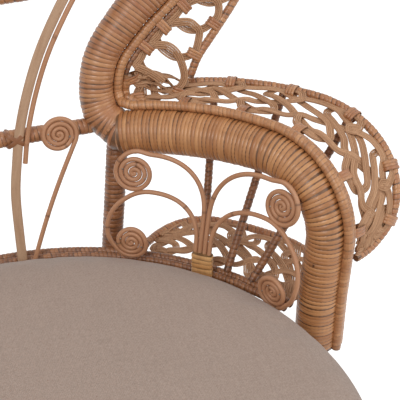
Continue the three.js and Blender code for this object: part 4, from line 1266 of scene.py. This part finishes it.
# %% [markdown]
# ## Ties
#
# Where a loop meets a pole it is tied with three turns of peel. The tree makes one turn, a flat band
# round a soft oval, sets three of them in a row, and puts such a tie on every point of the source,
# turned to the pole's direction there.

# %% The tie tree
def tie_growth():
    g = Growth("ties", Turns=3, Strip=0.0042, Width=0.012, Depth=0.004)
    strip = g.given["Strip"]
    ring = g.section(32, g.given["Width"], g.given["Depth"], 2.3)
    outwards = g.node("GeometryNodeInputPosition")
    ring = g.node("GeometryNodeSetCurveNormal", {"mode": "FREE"}, {0: ring, 2: outwards})
    band = g.node("GeometryNodeCurveToMesh", None, {0: ring, 1: strip_profile(g, strip, 1.1, 0.0007, 0.0)})
    one = g.node("GeometryNodeSetShadeSmooth", None, {0: band})
    next_turn = g.node("ShaderNodeCombineXYZ", None, {2: strip})
    row = g.node("GeometryNodeMeshLine", None, {"Count": g.given["Turns"], "Offset": next_turn})
    index = g.node("GeometryNodeInputIndex")
    shift = g.node("ShaderNodeCombineXYZ", None, {2: (g.given["Turns"] - 1.0) * strip * -0.5})
    row = g.node("GeometryNodeSetPosition", None, {0: row, "Offset": shift})
    row = g.store(row, turn=index)
    slack = g.noise(index * 2.7, 4.0) * 0.3 + 0.88
    size = g.node("ShaderNodeCombineXYZ", None, {0: slack, 1: slack, 2: 1.0})
    tie = g.node("GeometryNodeInstanceOnPoints", None, {"Points": row, "Instance": one, "Scale": size})
    tie = g.node("GeometryNodeRealizeInstances", None, {0: tie})
    stand = g.node("FunctionNodeAxesToRotation", {"primary_axis": "Z", "secondary_axis": "X"},
                   {"Primary Axis": g.read("way", "FLOAT_VECTOR"),
                    "Secondary Axis": g.read("up", "FLOAT_VECTOR")})
    points = g.store(g.given["Geometry"], tie=g.node("GeometryNodeInputIndex"))
    placed = {"Points": points, "Instance": tie, "Rotation": stand}
    ties = g.node("GeometryNodeInstanceOnPoints", None, placed)
    ties = g.node("GeometryNodeRealizeInstances", None, {0: ties})
    return g.close(g.store(ties, turn=g.read("turn") + g.read("tie") * 11.0, along=0.0))


TIE_GROWTH = tie_growth()
TIE_GROWTH.joined = False
print("tie tree:", len(TIE_GROWTH.tree.nodes), "nodes")


def tied(strip, places, edge, shift):
    """Points for ties where these places (reach in widths) meet the strip's inner or outer edge."""
    share, reach = strip_reach(strip)
    places = np.asarray([p for p in places if 0.03 < p < reach[-1] - 0.03])
    before, here, after = (strip(np.interp(places + d, reach, share)) for d in (-0.03, 0.0, 0.03))
    across = unit(here[1] - here[0])
    along = unit(after[edge] - before[edge])
    return {"p": here[edge] + across * shift, "up": here[2], "way": along, "thick": 0 * places}


# %% The back's lattice and its ties
STRANDS = dict(Columns=6, Count=4, Spacing=0.0022, Wander=0.0005)
BACK_PLACE, BACK_KNOT = 0.57, 0.03
BACK_TIES = (("inner", 0, 2.0, 0.009, 0.0042, 0.0), ("outer", 1, 1.0, 0.0085, 0.0052, 0.55))

weave = back_weave(back_strip, BACK_PLACE, BACK_KNOT, 91)
grow("back_lattice", weave, CANE_GROWTH, REED, "reed", ["back_lattice"], **STRANDS)
back_knots = BACK_KNOT + BACK_PLACE * np.arange(-1, int(REACHES[0] / BACK_PLACE) + 3)
for name, edge, shift, width, depth, slip in BACK_TIES:
    ties = tied(back_strip, back_knots - slip, edge, shift)
    grow("back_ties_" + name, [ties], TIE_GROWTH, PEEL_RED, "peel", Strip=0.0033, Width=width, Depth=depth)

# %% The shelves' lattices and the arms' ties
PLACE, SHELF_FIRST, LOWER_FIRST = 0.93, 0.97, 0.3
ARM_TIES = (("inner", 0, 3.0, 0.009, 0.0042), ("outer", 1, 0.5, 0.0095, 0.0058))

knots = SHELF_FIRST + PLACE * np.arange(-1, 7)
for side, mirrored in SIDES:
    seed = 95 if mirrored else 101
    for node, strip, place, first in (("arm_shelf_lattice_" + side, shelf_strip, PLACE, SHELF_FIRST),
                                      ("lower_shelf_lattice_" + side, lower_strip, PLACE * 0.8, LOWER_FIRST)):
        weave = shelf_weave(strip, place, first, seed)
        grow(node, weave, CANE_GROWTH, REED, "reed", [node], mirror=mirrored, **STRANDS)
        seed += 20
    for name, edge, shift, width, depth in ARM_TIES:
        ties = tied(shelf_strip, knots[2 * edge:], edge, shift)
        grow("arm_ties_%s_%s" % (name, side), [ties], TIE_GROWTH, PEEL_RED, "peel", mirror=mirrored,
             Strip=0.0034, Width=width, Depth=depth)

# %% [markdown]
# ## Scroll canes
#
# Four canes stand in a collar of peel on the seat. Each rises, arches over and rolls itself up into
# a tight scroll, turn against turn. The arch is a superellipse, and the scroll a spiral whose radius
# loses one cane's thickness a turn. All of it is drawn flat and laid on the cone between the seat
# and the arm.

# %% Where the scrolls stand
FAN = {
    "upper_rear": (-1, 63, 121, 62, 81, 99, 100),
    "upper_front": (1, 63, 127, 62, 82, 105, 100),
    "lower_rear": (-2, 62, 80, 32, 83, 20, 140),
    "lower_front": (2, 67, 86, 32, 90, 12, 140),
}
SCROLL_R, SCROLL_TURNS, SCROLL_PITCH, SCROLL_HEART = 20.2, 4.15, 5.3, 0.7
FAN_ANGLE = 43.8 * DEGREE


def fan_point(along, height):
    """A point on the cone, this far along it from the collar's middle."""
    lean = FAN_LEAN * np.maximum(height - COLLAR_RISE, 0)
    return polar(FAN_R + lean, FAN_ANGLE - along / FAN_R, height)


print("scrolls lean out by %.3f" % FAN_LEAN)

# %% One scroll cane
ARCH_POWER = 2 / 2.4


def scroll_cane(row, peak, rise, spring, centre, height, lead):
    """Row is the place in the collar. The arch springs there, peaks and winds round the centre."""
    lead = lead * DEGREE
    foot = (CANE_D + FIT) * (abs(row) - 0.5)
    stem = np.array([[foot, h] for h in np.linspace(-12.0, COLLAR_RISE, 8)])
    knee = max(spring, 1.3 * COLLAR_RISE)
    angle = np.linspace(0, math.pi / 2, 24)[1:]
    arch = np.stack([peak - (peak - foot) * np.cos(angle) ** ARCH_POWER,
                     knee + (rise - knee) * np.sin(angle) ** ARCH_POWER], -1)
    start = math.atan2(rise - height, peak - centre)
    surplus = math.hypot(rise - height, peak - centre) - SCROLL_R
    wind = np.linspace(0, SCROLL_TURNS * TURN + lead / 2, 190)[1:]
    left = np.maximum(1 - wind / lead, 0)
    radius = SCROLL_R + surplus * left ** 1.7 - SCROLL_PITCH * np.maximum(wind - lead / 2, 0) / TURN
    radius = np.maximum(radius, SCROLL_HEART)
    coil = np.stack([centre + radius * np.cos(start - wind), height + radius * np.sin(start - wind)], -1)
    coil = coil[wind > start - math.pi / 2]
    t = np.linspace(0, 1, 9)[1:-1, None]
    gap = np.linalg.norm(coil[0] - arch[-1])
    leave, meet = np.array([gap, 0.0]), unit(coil[1] - coil[0]) * gap
    bridge = (arch[-1] * (1 + 2 * t) * (1 - t) ** 2 + leave * t * (1 - t) ** 2
              + coil[0] * t * t * (3 - 2 * t) + meet * t * t * (t - 1))
    flat = np.vstack([stem, arch, bridge, coil])
    return Line(spline(fan_point(math.copysign(1, row) * flat[:, 0], flat[:, 1]), 3))


# %% [markdown]
# ## Nails
#
# Two small nails pin the turns of each scroll together. A tree puts a flattened ball on every point
# of its source, turned to face the room.

# %% The nail tree
def nail_growth():
    g = Growth("nails", Radius=0.0011)
    head = g.node("GeometryNodeMeshUVSphere", None, {"Segments": 10, "Rings": 6, "Radius": g.given["Radius"]})
    head = g.node("GeometryNodeSetShadeSmooth", None, {0: head})
    up = g.read("up", "FLOAT_VECTOR")
    stand = g.node("FunctionNodeAlignRotationToVector", {"axis": "Z"}, {"Vector": up})
    heads = {"Points": g.given["Geometry"], "Instance": head, "Rotation": stand, "Scale": (1.0, 1.0, 0.5)}
    return g.close(g.node("GeometryNodeInstanceOnPoints", None, heads))


NAIL_GROWTH = nail_growth()
NAIL_GROWTH.joined = False
print("nail tree:", len(NAIL_GROWTH.tree.nodes), "nodes")

# %% Fans, nails and collars
NAIL_SPOTS = ((-12.0, -3.5), (11.5, 4.5))

for side, mirrored in SIDES:
    seed = 131 if mirrored else 121
    heads, facing = [], []
    for i, (name, sizes) in enumerate(FAN.items()):
        node = "arm_scroll_%s_%s" % (name, side)
        scroll = cane_path(scroll_cane(*sizes), CANE_D / 2, 1.5, seed + i, taper=1.5)
        grow(node, [scroll], CANE_GROWTH, CANE, "cane", [node], mirror=mirrored)
        sign, centre, height = math.copysign(1, sizes[0]), sizes[4], sizes[5]
        for dx, dy in NAIL_SPOTS:
            place = fan_point(np.array([sign * (centre + dx)]), np.array([height + dy]))[0]
            facing.append(-unit(place * np.array([1, 1, 0])))
            heads.append(place + facing[-1] * (CANE_D / 2 - 0.1))
    nails = {"p": np.array(heads), "up": np.array(facing), "thick": np.zeros(len(heads))}
    grow("nails_" + side, [nails], NAIL_GROWTH, NAIL_HEAD, "cane", mirror=mirrored)
    foot = polar(FAN_R, FAN_ANGLE, np.array([-RAIL_DROP, COLLAR_RISE]))
    collar = Line(np.linspace(foot[0], foot[1], 12), unit(foot[0] * np.array([1, 1, 0])))
    node = "arm_collar_" + side
    grow(node, [path(collar, 1.0)], PEEL_GROWTH, PEEL_PALE, "binding", [node], mirror=mirrored,
         Strip=0.0056, Columns=44, Lift=0.0007, Start=0.0, Width=2 * (CANE_D + FIT) + FIT + COLLAR_WALL,
         Depth=CANE_D / 2 + FIT + COLLAR_WALL, Power=4.0, Seed=seed * 1.0)

# %% [markdown]
# ## Splats, slim canes and the scrolls of the back
#
# Two flat canes rise from the seat over the lower rail and fan outwards to the roll, each with a slim
# round one beside it. Two more end in a scroll on the rail. They lie on the face of the back's plane.

# %% The lines of the splats and slim canes
FRONT = BACK_RAIL_R + FIT


def splat_line(from_up, shift, depth):
    """The splat's line from this height on, moved sideways."""
    flat = SPLAT_LINE * np.array([HALF, TALL])
    flat = flat[flat[:, 1] >= from_up]
    way = np.vstack([flat[1:], flat[-1:]]) - np.vstack([flat[:1], flat[:-1]])
    flat = flat + unit(np.stack([way[:, 1], -way[:, 0]], -1)) * shift
    return Line(spline(on_back(flat[:, 0], flat[:, 1], depth)), BACK_NORMAL)


# %% The line of the back's scroll
def back_scroll_line():
    x, up, radius, foot_x, foot_drop = 87.0, 134.0, 19.6, 41.0, 13.0
    away = np.array([foot_x - x, -foot_drop - up])
    touch = math.atan2(away[1], away[0]) + math.acos(radius / np.linalg.norm(away))
    first = np.array([x + radius * math.cos(touch), up + radius * math.sin(touch)])
    share = np.linspace(0, 1, 30, endpoint=False)[:, None]
    stem = np.array([foot_x, -foot_drop]) * (1 - share) + first * share
    stem = stem + np.sin(share * math.pi) * np.array([-2.5, 1.5])
    wind = np.linspace(0, SCROLL_TURNS * TURN, 180)
    reach = np.maximum(radius - SCROLL_PITCH * wind / TURN, SCROLL_HEART)
    coil = np.stack([x + reach * np.cos(touch + wind), up + reach * np.sin(touch + wind)], -1)
    flat = np.vstack([stem, coil])
    return Line(spline(on_back(flat[:, 0], flat[:, 1], -FRONT - CANE_D / 2), 3), BACK_NORMAL)


# %% The back's canes
SPLAT_SECTION = dict(Columns=20, Width=5.2, Depth=1.8, Power=5.0)
SLIM_R = 2.7
back_canes = (("back_splat_", splat_line(-1e9, 0.0, -FRONT - 1.8), 1.0, 3.5, SPLAT, "splat", SPLAT_SECTION),
              ("back_slim_cane_", splat_line(104.0, 8.8, -FRONT - SLIM_R), SLIM_R, 3.5, CANE, "cane", {}),
              ("back_scroll_", back_scroll_line(), CANE_D / 2, 1.5, CANE, "cane", {}))
heads = on_back(np.array([75.5, 98.5]), np.array([137.0, 131.0]), -FRONT - CANE_D + 0.1)
nails = {"p": heads, "up": -BACK_NORMAL + 0 * heads, "thick": np.zeros(2)}

for side, mirrored in SIDES:
    seed = 151 if mirrored else 141
    for name, line, radius, spacing, finish, slot, section in back_canes:
        source = cane_path(line, radius, spacing, seed, knots=radius > 1)
        grow(name + side, [source], CANE_GROWTH, finish, slot, [name + side], mirror=mirrored, **section)
        seed += 1
    grow("nails_back_" + side, [nails], NAIL_GROWTH, NAIL_HEAD, "cane", mirror=mirrored)

# %% [markdown]
# ## Lashings
#
# Where a splat crosses the lower rail, two flat strips of peel cross over it and go round the rail
# behind. Each strip is a closed loop: flat across the front of the splat and round at the back.

# %% Crossed strips on the rail
LASH_REACH, LASH_TILT, LASH_X = 13.5, 0.62, 0.1075 * HALF


def lashing(x, up, tilt):
    angle = np.linspace(-math.pi * 0.75, math.pi * 1.25, 49)
    sin, cos = np.sin(angle), np.cos(angle)
    flat = np.sign(sin) * np.abs(sin) ** 0.8 * LASH_REACH
    depth = np.where(cos > 0, -cos ** 0.5 * (FRONT + 4.1), -cos * 0 + np.abs(cos) ** 0.8 * 10.2)
    points = on_back(x + flat * math.cos(tilt), up + flat * math.sin(tilt), depth)
    middle = on_back(x, up)
    return Line(points, unit(points - middle))


loops = []
for i, tilt in enumerate((LASH_TILT, -LASH_TILT)):
    loops.append(cane_path(lashing(LASH_X, LOWER_UP, tilt), 1.0 + 0.35 * i, 2.0, 7 + i, knots=False))
    loops[-1]["thick"] = 0 * loops[-1]["thick"] + 1.0
for side, mirrored in SIDES:
    grow("lashing_" + side, loops, CANE_GROWTH, CANE_DARK, "peel", mirror=mirrored,
         Columns=12, Width=2.4, Depth=0.35, Power=3.0)

# %% [markdown]
# ## The sun in the upper back
#
# This part lies above the photograph. Chairs of this kind fill it with a small arch on the upper rail
# and rays that run to the roll, so each ray is lengthened until it meets the roll's line.

# %% Arch and spokes
SUN_UP, SUN_R, SPOKE_FROM, SPOKE_TILT, ROLL_NEAR = UPPER_UP + BACK_RAIL_R, 78.0, 85.0, 17 * DEGREE, 22.0
angle = np.linspace(0, math.pi, 60)
arch = Line(on_back(SUN_R * np.cos(angle), SUN_UP + SUN_R * np.sin(angle)), BACK_NORMAL)
grow("sun_arch", [path(arch, 7.0)], PEEL_GROWTH, PEEL, "peel", ["sun_arch"],
     Strip=0.0048, Columns=14, Seed=16.0)
for i in range(-2, 3):
    tilt = math.pi / 2 - i * SPOKE_TILT
    reach = TALL - SUN_UP + HALF / 10
    while reach > 100:
        place = on_back(reach * math.cos(tilt), SUN_UP + reach * math.sin(tilt))
        if np.linalg.norm(BACK.p - place, axis=1).min() < ROLL_NEAR or abs(place[0]) > HALF:
            break
        reach -= 2.0
    ray = straight(on_back(SPOKE_FROM * math.cos(tilt), SUN_UP + SPOKE_FROM * math.sin(tilt)), place)
    name = "fan_spoke_%d" % (i + 3)
    grow(name, [cane_path(ray, 4.0, 6.0, 170 + i)], CANE_GROWTH, CANE, "cane", [name])

# %% [markdown]
# ## The cushion
#
# A round foam pad with a linen cover. A lathe's profile gives it a crown and a drawn-in underside,
# but real cloth bulges and creases a little, so the cover is blown up with Cloth: a slightly smaller
# pad is remeshed evenly, gets an inner pressure for twenty frames without gravity, and no point may
# move further than the slack of the cover. One subdivision makes it smooth again.

# %% A pad on a lathe
PAD_R, PAD_CROWN, PAD_LEAN = 287.0, 27.0, 16.0


def pad_mesh(inset):
    """A closed pad, smaller by this inset."""
    r, crown, depth = PAD_R - inset, PAD_CROWN - inset * 0.5, PAD_DEPTH - 0.4
    top = spline(np.array([(0, crown), (r * 0.45, crown * 0.93), (r * 0.78, crown * 0.7),
                           (r * 0.93, crown * 0.43), (r * 0.985, crown * 0.17), (r, -3.0)]), 14)
    under = spline(np.array([(r, -3.0), (r - PAD_LEAN * 0.25, -depth * 0.5), (r - PAD_LEAN, -depth * 0.9),
                             (r - PAD_LEAN * 2, -depth), (0, -depth)]), 10)
    profile = np.vstack([top, under[1:]])[1:-1]
    columns = 120
    angle = np.arange(columns) / columns * TURN
    ring = np.stack([profile[:, :1] * np.cos(angle), profile[:, :1] * np.sin(angle),
                     SEAT + profile[:, 1:] + 0 * angle], -1)
    poles = [[0, 0, SEAT + crown], [0, 0, SEAT - depth]]
    points = np.vstack([ring.reshape(-1, 3), poles]) * MM + [0, SHIFT, 0]
    rows, last = len(profile), len(profile) * columns
    faces = []
    for i in range(rows - 1):
        here, below = i * columns, (i + 1) * columns
        for j in range(columns):
            beside = (j + 1) % columns
            faces.append((here + j, below + j, below + beside, here + beside))
    faces += [(last, j, (j + 1) % columns) for j in range(columns)]
    bottom = (rows - 1) * columns
    faces += [(last + 1, bottom + (j + 1) % columns, bottom + j) for j in range(columns)]
    mesh = bpy.data.meshes.new("cushion")
    mesh.from_pydata(points.tolist(), [], faces)
    return mesh


pad = bpy.data.objects.new("cushion", pad_mesh(4.0))
bpy.context.scene.collection.objects.link(pad)
print("pad:", len(pad.data.polygons), "faces")

# %% The cover blown up
EVEN, STEPS, PRESSURE, STRETCH, BEND, SLACK = 0.0055, 20, 4.0, 12.0, 0.6, 5.0


def applied(obj):
    """The object's mesh with its modifiers in it."""
    mesh = bpy.data.meshes.new_from_object(obj.evaluated_get(bpy.context.evaluated_depsgraph_get()))
    obj.modifiers.clear()
    obj.data = mesh
    return mesh


def coordinates(mesh):
    values = np.empty(len(mesh.vertices) * 3, np.float32)
    mesh.vertices.foreach_get("co", values)
    return values.reshape(-1, 3).astype(float)


remesh = pad.modifiers.new("remesh", "REMESH")
remesh.mode = "VOXEL"
remesh.voxel_size = EVEN
start = coordinates(applied(pad))
cloth = pad.modifiers.new("cloth", "CLOTH")
cloth.settings.use_pressure = True
cloth.settings.uniform_pressure_force = PRESSURE
cloth.settings.tension_stiffness = STRETCH
cloth.settings.compression_stiffness = STRETCH
cloth.settings.bending_stiffness = BEND
cloth.settings.effector_weights.gravity = 0.0
for frame_number in range(1, STEPS + 1):
    bpy.context.scene.frame_set(frame_number)
moved = coordinates(applied(pad)) - start
bpy.context.scene.frame_set(1)
far = np.linalg.norm(moved, axis=1, keepdims=True)
print("the cover moved %.1f mm on average, %.1f mm at most" % (far.mean() / MM, far.max() / MM))
blown = start + moved * np.minimum(1.0, SLACK * MM / np.maximum(far, 1e-9))
blown[:, 2] = np.maximum(blown[:, 2], (SEAT - PAD_DEPTH) * MM)
flat = blown[:, :2] - [0, SHIFT]
wide = np.linalg.norm(flat, axis=1, keepdims=True)
blown[:, :2] = flat * (PAD_R * MM / wide.max()) + [0, SHIFT]
pad.data.vertices.foreach_set("co", blown.astype(np.float32).ravel())
pad.data.update()

# %% The cushion's looks
smooth = pad.modifiers.new("smooth", "SUBSURF")
smooth.levels = smooth.render_levels = 1
applied(pad)
for polygon in pad.data.polygons:
    polygon.use_smooth = True
pad.data.materials.clear()
pad.data.materials.append(LINEN)
finished(pad, ["seat_cushion"], "cushion")
print("cushion:", len(pad.data.polygons), "faces")

# %% [markdown]
# ## The deck
#
# The deck keeps its CAD solid and gets the woven finish.

# %% The deck's finish
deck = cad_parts["seat_deck"]
deck.data.materials.clear()
deck.data.materials.append(WEAVE)
print("deck:", len(deck.data.polygons), "faces")

# %% The size, and the end
print("pieces made:", len(pieces_made))
